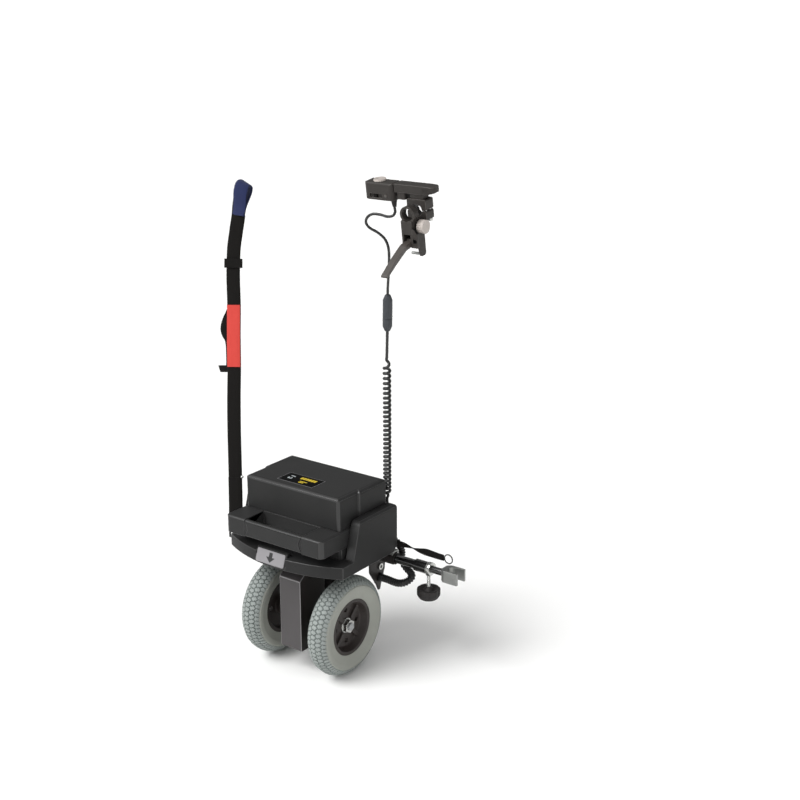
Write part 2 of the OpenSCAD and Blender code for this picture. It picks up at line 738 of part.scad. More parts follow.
module motor_end_cap() color("#26282a") from_bar() translate([0, drive_y, motor_top - cap_h]) difference() {
    union() {
        cylinder(h = cap_h, r = motor_r);
        translate([0, 0, -cap_spigot]) cylinder(h = cap_spigot + 1, r = motor_r - motor_wall - run);
    }
    translate([0, 0, -cap_spigot - past]) cylinder(h = cap_h + 2.5, r = shaft_r + run);
}

module armature() color("#8f8478") from_bar() translate([0, drive_y, 0]) {
    core_low = case_top + motor_wall + core_gap;
    core_high = motor_top - cap_h - brush_room;
    shaft_low = axle_z - worm_half - shaft_tail;
    translate([0, 0, shaft_low]) cylinder(h = motor_top - cap_h / 2 - shaft_low, r = shaft_r);
    translate([0, 0, core_low]) cylinder(h = core_high - core_low, r = motor_r - motor_wall - magnet_t - 2);
    translate([0, 0, core_high + 3]) cylinder(h = brush_h, r = shaft_r + 7);
    translate([0, 0, axle_z - worm_half]) cylinder(h = 2 * worm_half, r = worm_r - tooth_ded);
    translate([0, 0, axle_z]) worm_thread();
}
// Worm thread: a trapezoid swept up the screw line, its middle at the height of the axle
module worm_thread(steps = 16, turns = 4) {
    n = steps * turns;
    root = worm_r - tooth_ded - 0.4;
    tip = worm_r + tooth_add;
    foot_half = worm_pitch * tooth_half + (worm_r - root) * tan(pressure_angle);
    tip_half = worm_pitch * tooth_half - (tip - worm_r) * tan(pressure_angle);
    points = [for (i = [0:n])
        let(a = 360 * (i / steps - turns / 2), z = worm_pitch * (i / steps - turns / 2))
        each [for (q = [[root, foot_half], [tip, tip_half], [tip, -tip_half], [root, -foot_half]])
            [q[0] * cos(a + 180), q[0] * sin(a + 180), z + q[1]]]];
    rotate([0, 0, 90])
        polyhedron(points, concat(skin(n + 1, 4, 0, true), cap(0, 4, true), cap(n * 4, 4, false)));
}

// Motor controller: a finned block under the deck
module controller() color("#303438") from_bar() translate([controller_at[0], controller_at[1], deck_z]) {
    top = rim_h - wall - 3;
    difference() {
        along_z(0, top, rect(-controller_w / 2, -controller_d / 2, controller_w / 2, controller_d / 2, r_mid));
        for (i = [0:fins - 1]) translate([(i - (fins - 1) / 2) * fin_pitch, 0, top])
            cube([fin_w, controller_d - r_round, 2 * fin_depth], center = true);
    }
}

module battery_socket() color("#1c1c1e") from_bar() difference() {
    translate([-socket_size[0] / 2, socket_y - socket_size[1] / 2, deck_top]) cube(socket_size);
    for (s = sides) translate([s * blade_x - blade_w / 2 - 1, socket_y - blade_t, pocket_top - blade_h - 1])
        cube([blade_w + 2, 2 * blade_t, blade_h + 1]);
}

// Loom from the motor to the housing, with a gland at each end
module loom() color("#161616") from_bar() loom_pipe();
module loom_gland(h) difference() {
    cylinder(h = h, r = loom_d / 2 + gland_rim);
    translate([0, 0, -past]) cylinder(h = gland_bite, r = loom_bore / 2);
}
module loom_glands() color("#1d1d1d") from_bar() {
    foot = loom_route[0];
    head = loom_route[len(loom_route) - 1];
    translate([arm_out_x, foot[1], foot[2]]) rotate([0, 90, 0]) loom_gland(foot[0] - arm_out_x);
    translate([head[0], head[1], head[2]]) rotate([90, 0, 0]) loom_gland(head[1] - housing_front);
}

// Socket of the curly cord, on the front wall
module cord_socket() color("#1d1d1f") from_bar() translate([coil_foot[0], 0, socket_top - cord_socket_h])
    difference() {
        union() {
            translate([0, coil_foot[1], 0]) cylinder(h = cord_socket_h, r = cord_socket_r);
            along_z(r_small, cord_socket_h - 4, rect(-cord_lug, housing_front, cord_lug, coil_foot[1] - 2, r_small));
        }
        translate([0, coil_foot[1], -past]) cylinder(h = cord_socket_h - 4, r = cord_socket_bore);
    }

// Wire loop at the left end of the foot rim, which the strap is sewn round
module wire(a, b) {
    d = b - a;
    translate(a) rotate([0, acos(d[2] / norm(d)), atan2(d[1], d[0])]) cylinder(h = norm(d), r = wire_r);
    translate(b) sphere(wire_r);
}
module strap_hook() color("#9a9c9e") from_bar() {
    foot_z = deck_z + 10;
    x_in = -housing_half + hook_in;
    x_out = -housing_half + hook_out;
    wire([x_in, strap_y, deck_top], [x_in, strap_y, strap_bar_z]);
    wire([x_in, strap_y, strap_bar_z], [x_out, strap_y, strap_bar_z]);
    wire([x_out, strap_y, strap_bar_z], [x_out, strap_y, foot_z]);
    translate([x_out, strap_y, foot_z]) rod_x(0, -housing_half - x_out, wire_r);
}

// Wheel set: axle, worm wheel, rims, tyres, washers and nuts
module axle() color("#a7a9ab") from_bar() translate([0, 0, axle_z]) rod_x(-axle_end, axle_end, axle_r);

module worm_wheel() color("#b08d57") from_bar() translate([0, 0, axle_z]) rotate([0, 90, 0]) difference() {
    union() {
        lead_angle = atan(worm_pitch / (2 * PI * worm_r));
        twist = gear_face * tan(lead_angle) / gear_r * 180 / PI;
        root = gear_r - tooth_ded;
        tip = gear_r + tooth_add;
        root_half = (worm_pitch * tooth_half + tooth_ded * tan(pressure_angle)) / root * 180 / PI;
        tip_half = (worm_pitch * tooth_half - tooth_add * tan(pressure_angle)) / tip * 180 / PI;
        translate([0, 0, -gear_face / 2]) rotate([0, 0, -twist / 2])
            linear_extrude(gear_face, twist = -twist, slices = 2)
                polygon([for (i = [0:wheel_teeth - 1])
                    let(a = 90 + 360 * (i + 0.5) / wheel_teeth)
                    each [root * [cos(a - root_half), sin(a - root_half)],
                          tip * [cos(a - tip_half), sin(a - tip_half)],
                          tip * [cos(a + tip_half), sin(a + tip_half)],
                          root * [cos(a + root_half), sin(a + root_half)]]]);
        translate([0, 0, -gear_face / 2 - 2]) cylinder(h = gear_face + 4, r = axle_r + 6);
    }
    translate([0, 0, -gear_face]) cylinder(h = 2 * gear_face, r = axle_r);
}

// Turns a wheel's outer side away from the centre plane
module outer_side(s) rotate([0, 0, s > 0 ? 0 : 180]) children();
module rim(s) color("#3a3432") from_bar() translate([s * wheel_x, 0, axle_z]) outer_side(s) rotate([0, 90, 0]) {
    half = rim_w / 2;
    web = rim_web / 2;
    difference() {
        union() {
            rotate_extrude($fn = round_fn) polygon(rounded([
                [axle_r, -half, 0], [hub_r, -half, r_fine], [hub_r, -web - 2, r_small],
                [rim_r - rim_dish + 2, -web - 2, r_soft], [rim_r - rim_lip, -half, r_small], [rim_r, -half, r_fine],
                [rim_r, half, r_fine], [rim_r - rim_lip, half, r_small], [rim_r - rim_dish, web - 2, r_mid],
                [hub_r, web - 2, 0], [hub_r, 2, 0], [axle_r, 2, 0]], 3));
            for (a = [45:90:315]) rotate([0, 0, a]) translate([hub_r - 3, -spoke_w / 2, -1])
                cube([rim_r - hub_r - spoke_w, spoke_w, web + 4]);
        }
        for (a = [0:90:270]) rotate([0, 0, a]) translate([(hub_r + rim_r - r_broad) / 2, 0, -rim_w])
            cylinder(h = 2 * rim_w, r = vent_r);
    }
}

// Tyre: an oval section that narrows to its seat on the rim
module tyre(s) color("#a8ada8") from_bar() translate([s * wheel_x, 0, axle_z]) rotate([0, 90, 0])
    rotate_extrude($fn = round_fn) polygon(concat(
        [[rim_r, -rim_w / 2]],
        [for (a = [-120:12:120])
            [wheel_r - tyre_bulge + tyre_bulge * cos(a), tyre_w / 2 * sin(a)]],
        [[rim_r, rim_w / 2]]));

module axle_nuts() color("#b9babb") from_bar() translate([0, 0, axle_z]) for (s = sides) {
    difference() {
        rod_side(s, hub_face, hub_face + washer_t, nut_af / 2 + washer_rim);
        rod_x(-wheel_x - tyre_w, wheel_x + tyre_w, axle_r);
    }
    difference() {
        translate([s > 0 ? hub_face + washer_t : -nut_end, 0, 0]) rotate([0, 90, 0])
            cylinder(h = nut_h, r = nut_af / sqrt(3), $fn = 6);
        rod_x(-wheel_x - tyre_w, wheel_x + tyre_w, axle_r);
    }
}

// Battery pack: a case with a rear step, its lid, the carry handle and two battery blocks
module case_body() {
    soft_box([-case_half, -step_rear, step_z], [case_half, case_front, case_top_z], r_broad, r_mid);
    along_z(case_bottom, step_z + 2,
        rect(-case_half + case_tuck, case_foot_y, case_half - case_tuck, case_front - 2, r_round));
}
module socket_pocket() translate([-pocket_x, socket_y - pocket_y, case_bottom - past])
    cube([2 * pocket_x, 2 * pocket_y, pocket_top - case_bottom + past]);
module battery_case() color("#2f2f31") from_bar() {
    inside_x = case_half - case_tuck - case_wall;
    difference() {
        case_body();
        along_z(step_z - past, case_top_z + past, [
            [-finger_x, -step_rear - past], [finger_x, -step_rear - past],
            [finger_x, -lid_rear], [-finger_x, -lid_rear]]);
        along_z(case_bottom + case_wall, case_top_z + past,
            rect(-inside_x, case_foot_y + case_wall, inside_x, case_front - 2 - case_wall, r_mid));
        socket_pocket();
    }
    for (s = sides) intersection() {
        translate([s * (finger_x + bulge_set), 0, bulge_z]) rod_y(-step_rear + 1, -step_rear + handle_t, bulge_r);
        translate([s > 0 ? 0 : -finger_x - 1, -step_rear, step_z + 1]) cube([finger_x + 1, handle_t, step_h - r_mid]);
    }
    difference() {
        along_z(case_bottom, pocket_top + case_wall, rect(-pocket_x - case_wall, socket_y - pocket_y - case_wall,
            pocket_x + case_wall, socket_y + pocket_y + case_wall, r_small));
        socket_pocket();
    }
    for (s = sides) translate([s * blade_x - blade_w / 2, socket_y - blade_t / 2, pocket_top - blade_h])
        cube([blade_w, blade_t, blade_h + past]);
}

module battery_lid() color("#2b2b2d") from_bar() difference() {
    union() {
        soft_box([-lid_half, -lid_rear, case_top_z], [lid_half, lid_front, lid_top], r_round, lid_round);
        soft_box([-case_half, lid_step_y, case_top_z], [case_half, lid_front, lid_top], r_soft, lid_round);
    }
    along_z(case_top_z - past, lid_top - case_wall, rect(-lid_half + case_wall, -lid_rear + case_wall,
        lid_half - case_wall, lid_front - case_wall, r_mid));
}

module carry_handle() color("#3a3a3c") from_bar() difference() {
    along_x(-finger_x + fit, finger_x - fit, rounded([
        [-step_rear, step_z + 1, r_soft], [-step_rear + handle_t - handle_lip, step_z + 1, r_small],
        [-step_rear + handle_t, step_z + handle_dip, r_soft], [-step_rear + handle_t, case_top_z - 2, r_mid],
        [-step_rear, case_top_z, r_mid]]));
    for (s = sides) translate([s * (finger_x + bulge_set), 0, bulge_z])
        rod_y(-step_rear - past, -step_rear + handle_t + past, bulge_r + fit);
}

module battery_cells() color("#4a4d52") from_bar() for (i = [0, 1])
    translate([-cell_len / 2, case_foot_y + case_wall + i * (cell_dep + 1), cell_seats[i]])
        cube([cell_len, cell_dep, cell_h]);

// Mounting bar: outer tube, clamping collars, pivot bushes and saddles
module bar_tube() color("#161616") difference() {
    rod_x(-bar_half, bar_half, bar_r);
    rod_x(-bar_half - past, bar_half + past, ext_r + run);
}

module bar_collars() color("#1b1b1b") for (s = sides) on_bar(s) difference() {
    union() {
        rod_x(collar_in, collar_out, collar_d / 2);
        translate([stud_x, 0, -collar_d / 2 - 2]) cylinder(h = collar_d / 2, r = stud_r + 3);
    }
    rod_x(collar_in - past, bar_half, bar_r);
    rod_x(bar_half - past, collar_out + past, ext_r + run);
    translate([stud_x, 0, -collar_d]) cylinder(h = collar_d, r = stud_r + run);
}

module pivot_bushes() color("#141414") for (s = sides) on_bar(s) rotate([0, 90, 0]) rotate_extrude()
    polygon(concat(
        [[bar_r, arm_x - 4], [bush_r + 2.5, arm_x - 4], [bush_r + 2.5, arm_x - fit], [bush_r, arm_x - fit],
         [bush_r, arm_out_x + fit]],
        [for (i = [0:bush_ribs - 1])
            let(x = arm_out_x + rib_pitch * i)
            each [[bush_r + rib_h, x + fit], [bush_r + rib_h, x + 3], [bush_r, x + 3.4], [bush_r, x + 4.8]]],
        [[bush_r, bush_out], [bar_r, bush_out]]));

module bar_saddles() color("#b4b5b4") for (s = sides) on_bar(s) difference() {
    along_x(bush_out - 20, bush_out - 2, rounded([
        [-saddle_half, bar_r - 3, r_fine], [-saddle_half, bush_r + saddle_rise, r_soft],
        [saddle_half, bush_r + saddle_rise, r_soft], [saddle_half, bar_r - 3, r_fine]]));
    rod_x(bush_out - 20 - past, bush_out, bush_r + rib_h);
}

// Sliding extensions and the end clamps that take the frame tubes
module extension(s) color("#141414") on_bar(s) difference() {
    rod_x(bar_half - ext_in, ext_end, ext_r);
    rod_x(bar_half - ext_in - past, ext_end - 3, ext_bore / 2);
}

module frame_clamp(s) color("#b0b2b3") on_bar(s) difference() {
    seat = tube_d / 2;
    cheek = seat + jaw_t;
    jaw = tube_x + jaw_len;
    along_z(-end_clamp_h / 2, end_clamp_h / 2, rounded([
        [ext_end - 10, -jaw_neck, r_soft], [ext_end - 2, -cheek, r_mid], [jaw, -cheek, r_small], [jaw, -seat, 0],
        [tube_x, -seat, 0], [tube_x, seat, 0], [jaw, seat, 0], [jaw, cheek, r_small],
        [ext_end - 2, cheek, r_mid], [ext_end - 10, jaw_neck, r_soft]]));
    translate([tube_x, 0, -end_clamp_h]) cylinder(h = 2 * end_clamp_h, r = seat, $fn = 64);
    rod_x(ext_end - 10 - past, ext_end, ext_r);
}

// Clamp knob: a fluted cup with a raised hub, on a stud that presses on the extension
module clamp_knob(s) color("#1a1817") from_bar() translate([s * stud_x, bar_y, knob_top]) {
    rim_r2 = knob_d / 2;
    translate([0, 0, -2]) cylinder(h = stud_len + 2 - run, r = stud_r);
    difference() {
        translate([0, 0, -knob_h]) rotate_extrude($fn = 64) polygon(rounded([
            [0, 0, 0], [rim_r2 - r_mid, 0, r_mid], [rim_r2, knob_h / 3, r_mid], [rim_r2, knob_h - knob_rim, r_small],
            [rim_r2 - knob_rim, knob_h - knob_rim, r_fine], [knob_hub + 4, knob_h - 2 * knob_rim, r_soft],
            [knob_hub, knob_h - knob_rim, r_fine], [stud_r + 2, knob_h, r_fine], [0, knob_h, 0]], 4));
        for (i = [0:flutes - 1]) rotate([0, 0, 360 * i / flutes]) translate([rim_r2 + 5, 0, -knob_h - past])
            cylinder(h = knob_h + 2 * past, r = flute_r);
    }
}

// Safety tether: a twisted strap and the wire ring on its outer end
module tether_strap() color("#191614") from_bar()
    webbing(tether_route, [0, 0, 1], tether_w, webbing_t, tether_twist);
module tether_ring() color("#2a2a2c") from_bar()
    translate(tether_route[len(tether_route) - 1] + [tether_ring_r + ring_wire_r + fit, 0, 0])
        rotate([90, 0, 0]) rotate_extrude() translate([tether_ring_r, 0]) circle(ring_wire_r, $fn = 24);

// Handset clamp: two halves round the handle, held by four bolts
module clamp_half(z0, z1) difference() {
    along_y(-clamp_w / 2, clamp_w / 2, rect(-handle_r - clamp_lug, z0, handle_r + clamp_lug, z1, r_soft));
    rod_y(-clamp_w, clamp_w, handle_r);
    for (x = sides * bolt_x, y = sides * bolt_y) translate([x, y, -clamp_top - past])
        cylinder(h = 2 * clamp_top + 2 * past, r = bolt_r + run);
}
module handset_clamp() color("#232323") on_handle() clamp_half(clamp_split, clamp_top);
module handset_clamp_cap() color("#232323") on_handle() clamp_half(clamp_low, -clamp_split);
module handset_bolts() color("#8f9091") on_handle()
    for (x = sides * bolt_x, y = sides * bolt_y) translate([x, y, clamp_low - bolt_head_h]) {
        cylinder(h = clamp_top - 2 - clamp_low + bolt_head_h, r = bolt_r);
        cylinder(h = bolt_head_h, r = bolt_head_r, $fn = 6);
    }
// Control arm: a paddle whose nose drops, on a post over the clamp, with a block beside the pod
module control_arm() color("#2c2b2a") on_handle() {
    top = arm_low + arm_h;
    intersection() {
        along_z(arm_low, top, rounded([
            [-arm_in, -clamp_w / 2, r_small], [arm_out, -clamp_w / 2, r_round],
            [arm_out, clamp_w / 2, r_round], [-arm_in, clamp_w / 2, r_small]]));
        along_y(-clamp_w, clamp_w, rounded([
            [-arm_in - past, arm_low, 0], [arm_out / 2, arm_low, r_mid], [arm_out + past, arm_low + arm_nose, 0],
            [arm_out + past, top - 1, 0], [arm_out / 2, top, r_round], [-arm_in - past, top, 0]]));
    }
    along_z(clamp_top, arm_low, rect(-arm_post[0], -arm_post[1], arm_post[0], arm_post[1], r_soft));
    along_z(arm_low - arm_block_drop, arm_low,
        rect(arm_block[0], -arm_post[1], arm_block[1], arm_post[1], r_soft));
}
module control_pod() color("#2e2d2c") on_handle() difference() {
    soft_box([pod_in - pod_w, -pod_d / 2, pod_z], [pod_in, pod_d / 2, pod_z + pod_h], pod_round, r_mid);
    translate([dial_x, 0, pod_z + pod_h - dial_stem - 1]) cylinder(h = dial_stem + 2, r = dial_stem_r + run);
    translate([switch_x - switch_slot[0] / 2, -pod_d / 2 - past, pod_z + 4])
        cube([switch_slot[0], switch_slot[1] + past, switch_slot[2]]);
    translate([gland_x, 0, pod_z - past]) cylinder(h = r_mid + past, r = gland_neck);
}
module speed_dial() color("#c3bfb9") on_handle() translate([dial_x, 0, pod_z + pod_h]) difference() {
    union() {
        translate([0, 0, fit]) cylinder(h = dial_h, r1 = dial_d / 2, r2 = dial_d / 2 - 1);
        translate([0, 0, -dial_stem]) cylinder(h = dial_stem + 1, r = dial_stem_r);
    }
    for (a = [0:20:340]) rotate([0, 0, a]) translate([dial_d / 2 + 0.4, 0, -past])
        cylinder(h = dial_h + 2 * past, r = grip_r);
}
module power_switch() color("#111112") on_handle()
    translate([switch_x - 5, -pod_d / 2 + clamp_split, pod_z + 4.5]) cube(switch_size);

// Drive lever: a box on its own band, a pin, the lever, and a knob on a hanging plate
module lever_box() color("#262524") on_handle() difference() {
    union() {
        rod_y(lever_y - lever_band / 2, lever_y + lever_band / 2, handle_r + lever_band_t);
        along_x(-lever_box_w / 2, lever_box_w / 2, rect(lever_y - lever_box_d / 2, lever_z - r_round,
            lever_y + lever_box_d / 2, -handle_r + 2, r_soft));
        along_x(lever_box_w / 2 - 1, knob_x, rounded([
            [lever_y + 4, -handle_r - 2, 0], [-clamp_w / 2 - fit, -handle_r - 2, r_small],
            [-clamp_w / 2 - fit, lever_z - lever_plate_drop, r_mid], [-27, lever_z - lever_plate_drop, r_mid],
            [lever_y + 2, lever_z - 6, 0]]));
    }
    rod_y(lever_y - lever_band, lever_y + lever_band, handle_r);
    along_x(-lever_slot / 2, lever_slot / 2, [
        [lever_y - lever_reach, lever_z - 20], [lever_y + 8.5, lever_z - 20],
        [lever_y + 8.5, lever_z + 9], [lever_y - lever_reach, lever_z + 26]]);
    translate([0, lever_y, lever_z]) rod_x(-lever_box_w, lever_box_w, lever_pin_d / 2);
    translate([0, knob_y, knob_z]) rod_x(0, lever_box_w, knob_stem_r + run);
}
module lever_pin() color("#b5b6b7") on_handle() translate([0, lever_y, lever_z])
    rod_x(-lever_box_w / 2 - 1, lever_box_w / 2 - 1.2, lever_pin_d / 2);
module drive_lever() color("#333130") on_handle() translate([0, lever_y, lever_z]) difference() {
    bend = 0.286 * lever_len;
    knee = 0.64 * lever_len;
    drop = 0.46 * lever_len;
    union() {
        rod_x(-lever_w / 2, lever_w / 2, lever_boss_r);
        along_x(-lever_w / 2 + blade_step, lever_w / 2 - blade_step, rounded([
            [0, r_mid, 0], [-bend, 1, r_broad], [-knee, -0.38 * drop, 20],
            [-lever_len + r_mid, -0.81 * drop, r_soft], [-lever_len, -drop, r_small],
            [-knee - 2, -0.6 * drop, 20], [-bend, -r_round, r_broad], [0, -r_mid, 0]]));
    }
    rod_x(-lever_w, lever_w, lever_pin_d / 2 + run);
}
module lever_knob() color("#c9c4be") on_handle() translate([0, knob_y, knob_z]) difference() {
    union() {
        rod_x(knob_x + fit, knob_x + lever_knob_t, lever_knob_r);
        rod_x(lever_box_w / 2, knob_x + 1, knob_stem_r);
    }
    for (a = [0:20:340]) rotate([a, 0, 0]) translate([0, lever_knob_r + 0.5, 0])
        rod_x(knob_x - past, knob_x + lever_knob_t - r_soft, grip_r);
}

// Handset cable, its gland, the inline connector and the curly cord
module cable_gland() color("#1a1a1a") on_handle() translate([gland_x, 0, pod_z - gland_len]) {
    cylinder(h = gland_len, r1 = cable_d / 2 + 1, r2 = gland_r);
    translate([0, 0, gland_len]) cylinder(h = 4, r = gland_neck);
}
module handset_cable() color("#3b3a39") from_bar() {
    path = smooth(cable_route, 4);
    tube(path, same(cable_d / 2, len(path)), 8);
}
module inline_connector() color("#33363a") from_bar() {
    top = cable_route[len(cable_route) - 1];
    d = lead_top - top;
    long = norm(d);
    seam = 0.64 * long;
    body_r = 9;
    nose_r = 5;
    translate(top) rotate([0, acos(d[2] / long), atan2(d[1], d[0])]) {
        rotate_extrude() polygon(rounded([
            [0, 0, 0], [nose_r, 0, r_small], [body_r, 10, r_soft], [body_r, seam, r_fine], [0, seam, 0]], 3));
        rotate_extrude() polygon(rounded([
            [0, seam + fit, 0], [body_r, seam + fit, r_fine], [body_r, long - 9, r_soft],
            [nose_r, long, r_small], [0, long, 0]], 3));
    }
}
module curly_cord() color("#151515") from_bar() tube(cord_path, same(cord_d / 2, len(cord_path)), 6);

// Lifting strap: webbing, the loop at its top, the tag sewn on it and its slider
strap_side = [1, 0.25, 0];
strap_layer = webbing_t + fit;
loop_tilt = -24;
loop_half = 15;
loop_h = 66;
loop_belly = 44;
slider_half = [4, 3.5, 9];
module lift_strap() color("#1e1a17") from_bar()
    webbing(strap_route, strap_side, strap_w, webbing_t, same(0, len(strap_route)));
module strap_tag() color("#e8473c") from_bar()
    webbing([for (i = [6:8]) strap_route[i]], strap_side, strap_w - 1, webbing_t, same(0, 3), -strap_layer);
function loop_outline(inset, foot) = rounded([
    [-foot, inset > 0 ? 6 : 0.5, r_fine / 3], [foot, inset > 0 ? 6 : 0.5, r_fine / 3],
    [loop_half - inset, loop_belly, r_round], [loop_half - 2 - inset, loop_h - inset, r_round - inset],
    [-loop_half + 2 + inset, loop_h - inset, r_round - inset], [-loop_half + inset, loop_belly, r_round]]);
module strap_loop() color("#2d3a78") from_bar()
    translate(strap_route[len(strap_route) - 1] + [-strap_w / 2, 0, 0]) rotate([loop_tilt, 0, 0]) difference() {
        along_x(0, strap_w, loop_outline(0, webbing_t * 1.5));
        along_x(-past, strap_w + past, loop_outline(webbing_t, webbing_t / 4));
    }
module strap_slider() color("#1b1b1c") from_bar() {
    a = strap_route[9];
    b = strap_route[10];
    d = unit(b - a);
    u = unit(strap_side - (strap_side * d) * d);
    v = cross(d, u);
    c = a + 0.8 * (b - a);
    half = strap_w / 2;
    slot = webbing_t / 2 + fit;
    multmatrix([[u[0], v[0], d[0], c[0]], [u[1], v[1], d[1], c[1]], [u[2], v[2], d[2], c[2]], [0, 0, 0, 1]])
        difference() {
            along_z(-slider_half[2], slider_half[2],
                rect(-half - slider_half[0], -slider_half[1], half + slider_half[0], slider_half[1], r_small));
            translate([-half - 1, -slot, -slider_half[2] - past])
                cube([strap_w + 2, 2 * slot, 2 * (slider_half[2] + past)]);
        }
}

base_housing();
push_plate();
chassis_plate();
pivot_frame();
column();
gear_case(-1);  // gear_case_left
gear_case(1);  // gear_case_right
axle_bearings();
motor_can();
motor_end_cap();
controller();
battery_socket();
loom();
loom_glands();
cord_socket();
strap_hook();
axle();
worm_wheel();
rim(-1);  // rim_left
rim(1);  // rim_right
tyre(-1);  // tyre_left
tyre(1);  // tyre_right
axle_nuts();
armature();
battery_case();
battery_lid();
carry_handle();
battery_cells();
bar_tube();
bar_collars();
pivot_bushes();
bar_saddles();
extension(-1);  // extension_left
extension(1);  // extension_right
frame_clamp(-1);  // frame_clamp_left
frame_clamp(1);  // frame_clamp_right
clamp_knob(-1);  // clamp_knob_left
clamp_knob(1);  // clamp_knob_right
tether_strap();
tether_ring();
handset_clamp();
handset_clamp_cap();
handset_bolts();
control_arm();
control_pod();
speed_dial();
power_switch();
lever_box();
lever_pin();
drive_lever();
lever_knob();
cable_gland();
handset_cable();
inline_connector();
curly_cord();
lift_strap();
strap_loop();
strap_tag();
strap_slider();
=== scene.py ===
import math

import bpy
from mathutils import Matrix, Vector


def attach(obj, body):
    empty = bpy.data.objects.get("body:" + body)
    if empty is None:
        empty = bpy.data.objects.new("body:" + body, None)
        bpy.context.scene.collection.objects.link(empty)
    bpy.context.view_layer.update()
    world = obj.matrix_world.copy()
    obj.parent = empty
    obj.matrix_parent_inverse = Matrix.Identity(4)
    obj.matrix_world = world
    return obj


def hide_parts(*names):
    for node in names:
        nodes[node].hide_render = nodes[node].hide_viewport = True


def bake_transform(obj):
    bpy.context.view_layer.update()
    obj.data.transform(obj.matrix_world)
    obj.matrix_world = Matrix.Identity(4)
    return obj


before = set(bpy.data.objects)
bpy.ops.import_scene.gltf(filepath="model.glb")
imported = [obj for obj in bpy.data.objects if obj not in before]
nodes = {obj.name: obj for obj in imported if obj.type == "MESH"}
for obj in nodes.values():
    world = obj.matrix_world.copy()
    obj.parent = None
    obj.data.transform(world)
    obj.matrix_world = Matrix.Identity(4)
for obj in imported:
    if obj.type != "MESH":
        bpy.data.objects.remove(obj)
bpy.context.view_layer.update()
MM = 0.001
TURN = 2 * math.pi
# The bar's axis, ahead of the wheel axle and above the floor, in mm
BAR_Y, BAR_Z = 110, 212


def at(x, y, z):
    """A point in mm, from the wheel axle and above the floor, in the part's own metres."""
    return Vector((x, y - BAR_Y, z - BAR_Z)) * MM


def take(*objs):
    """Only these objects are selected, and the first is active."""
    bpy.ops.object.select_all(action="DESELECT")
    for obj in objs:
        obj.select_set(True)
    bpy.context.view_layer.objects.active = objs[0]


def edit_all():
    """Edit mode, with everything selected."""
    bpy.ops.object.mode_set(mode="EDIT")
    bpy.ops.mesh.select_all(action="SELECT")


# Camera, where the photograph was taken from
camera_place = (1549.58, -1834.11, 1294.96)
yaw, pitch = math.radians(36.02), math.radians(17.43)
focal_mm, sensor_mm = 60.0, 36.0
lens = bpy.data.cameras.new("photo_camera")
lens.lens = focal_mm
lens.sensor_width = sensor_mm
camera = bpy.data.objects.new("photo_camera", lens)
camera.location = at(*camera_place)
camera.rotation_euler = (math.pi / 2 - pitch, 0, yaw)
bpy.context.scene.collection.objects.link(camera)
bpy.context.scene.camera = camera


# Materials
def tone(code):
    """Linear colour of an sRGB hex value."""
    parts = [int(code[i:i + 2], 16) / 255 for i in (0, 2, 4)]
    return (*[c / 12.92 if c <= 0.04045 else ((c + 0.055) / 1.055) ** 2.4 for c in parts], 1)


def add(tree, kind, links=None, **settings):
    """Adds a node with its settings; a link's value is a socket or a constant."""
    made = tree.nodes.new(kind)
    for key, value in settings.items():
        setattr(made, key, value)
    for key, value in (links or {}).items():
        if isinstance(value, bpy.types.NodeSocket):
            tree.links.new(value, made.inputs[key])
        else:
            made.inputs[key].default_value = value
    return made


def per_m(size_mm):
    """Texture scale for a feature of that size on coordinates in metres."""
    return 1000 / size_mm


def per_wave(size_mm):
    """Wave texture scale for bands of about that spacing on coordinates in metres."""
    return per_m(size_mm) / TURN * 2


def new_material(name):
    """A material with its node tree, its main shader and coordinates in metres."""
    made = bpy.data.materials.new(name)
    made.use_nodes = True
    tree = made.node_tree
    shader = tree.nodes["Principled BSDF"]
    place = add(tree, "ShaderNodeTexCoord").outputs["Object"]
    return made, tree, shader, place


def two_tones(tree, factor, dark, light):
    """Colour between two: each is a hex value or a socket."""
    ends = [end if isinstance(end, bpy.types.NodeSocket) else tone(end) for end in (dark, light)]
    mix = add(tree, "ShaderNodeMix", {"Factor": factor, 6: ends[0], 7: ends[1]}, data_type="RGBA")
    return mix.outputs[2]


def moulded(name, dark, light, rough, grain_mm, depth_mm, blotch_mm=45, level=0.5):
    """Injection-moulded plastic: a fine eroded grain, and a slow change of tone and sheen from handling."""
    made, tree, shader, place = new_material(name)
    blotch = add(tree, "ShaderNodeTexNoise", {"Vector": place, "Scale": per_m(blotch_mm), "Detail": 4.0})
    grain = add(tree, "ShaderNodeTexNoise", {"Vector": place, "Scale": per_m(grain_mm), "Detail": 2.0})
    colour = two_tones(tree, blotch.outputs["Fac"], dark, light)
    tree.links.new(colour, shader.inputs["Base Color"])
    sheen = add(tree, "ShaderNodeMapRange",
                {"Value": blotch.outputs["Fac"], "To Min": rough - 0.06, "To Max": rough + 0.08})
    tree.links.new(sheen.outputs[0], shader.inputs["Roughness"])
    bump = add(tree, "ShaderNodeBump",
               {"Height": grain.outputs["Fac"], "Strength": 0.5, "Distance": depth_mm * MM})
    tree.links.new(bump.outputs[0], shader.inputs["Normal"])
    shader.inputs["Specular IOR Level"].default_value = level
    return made


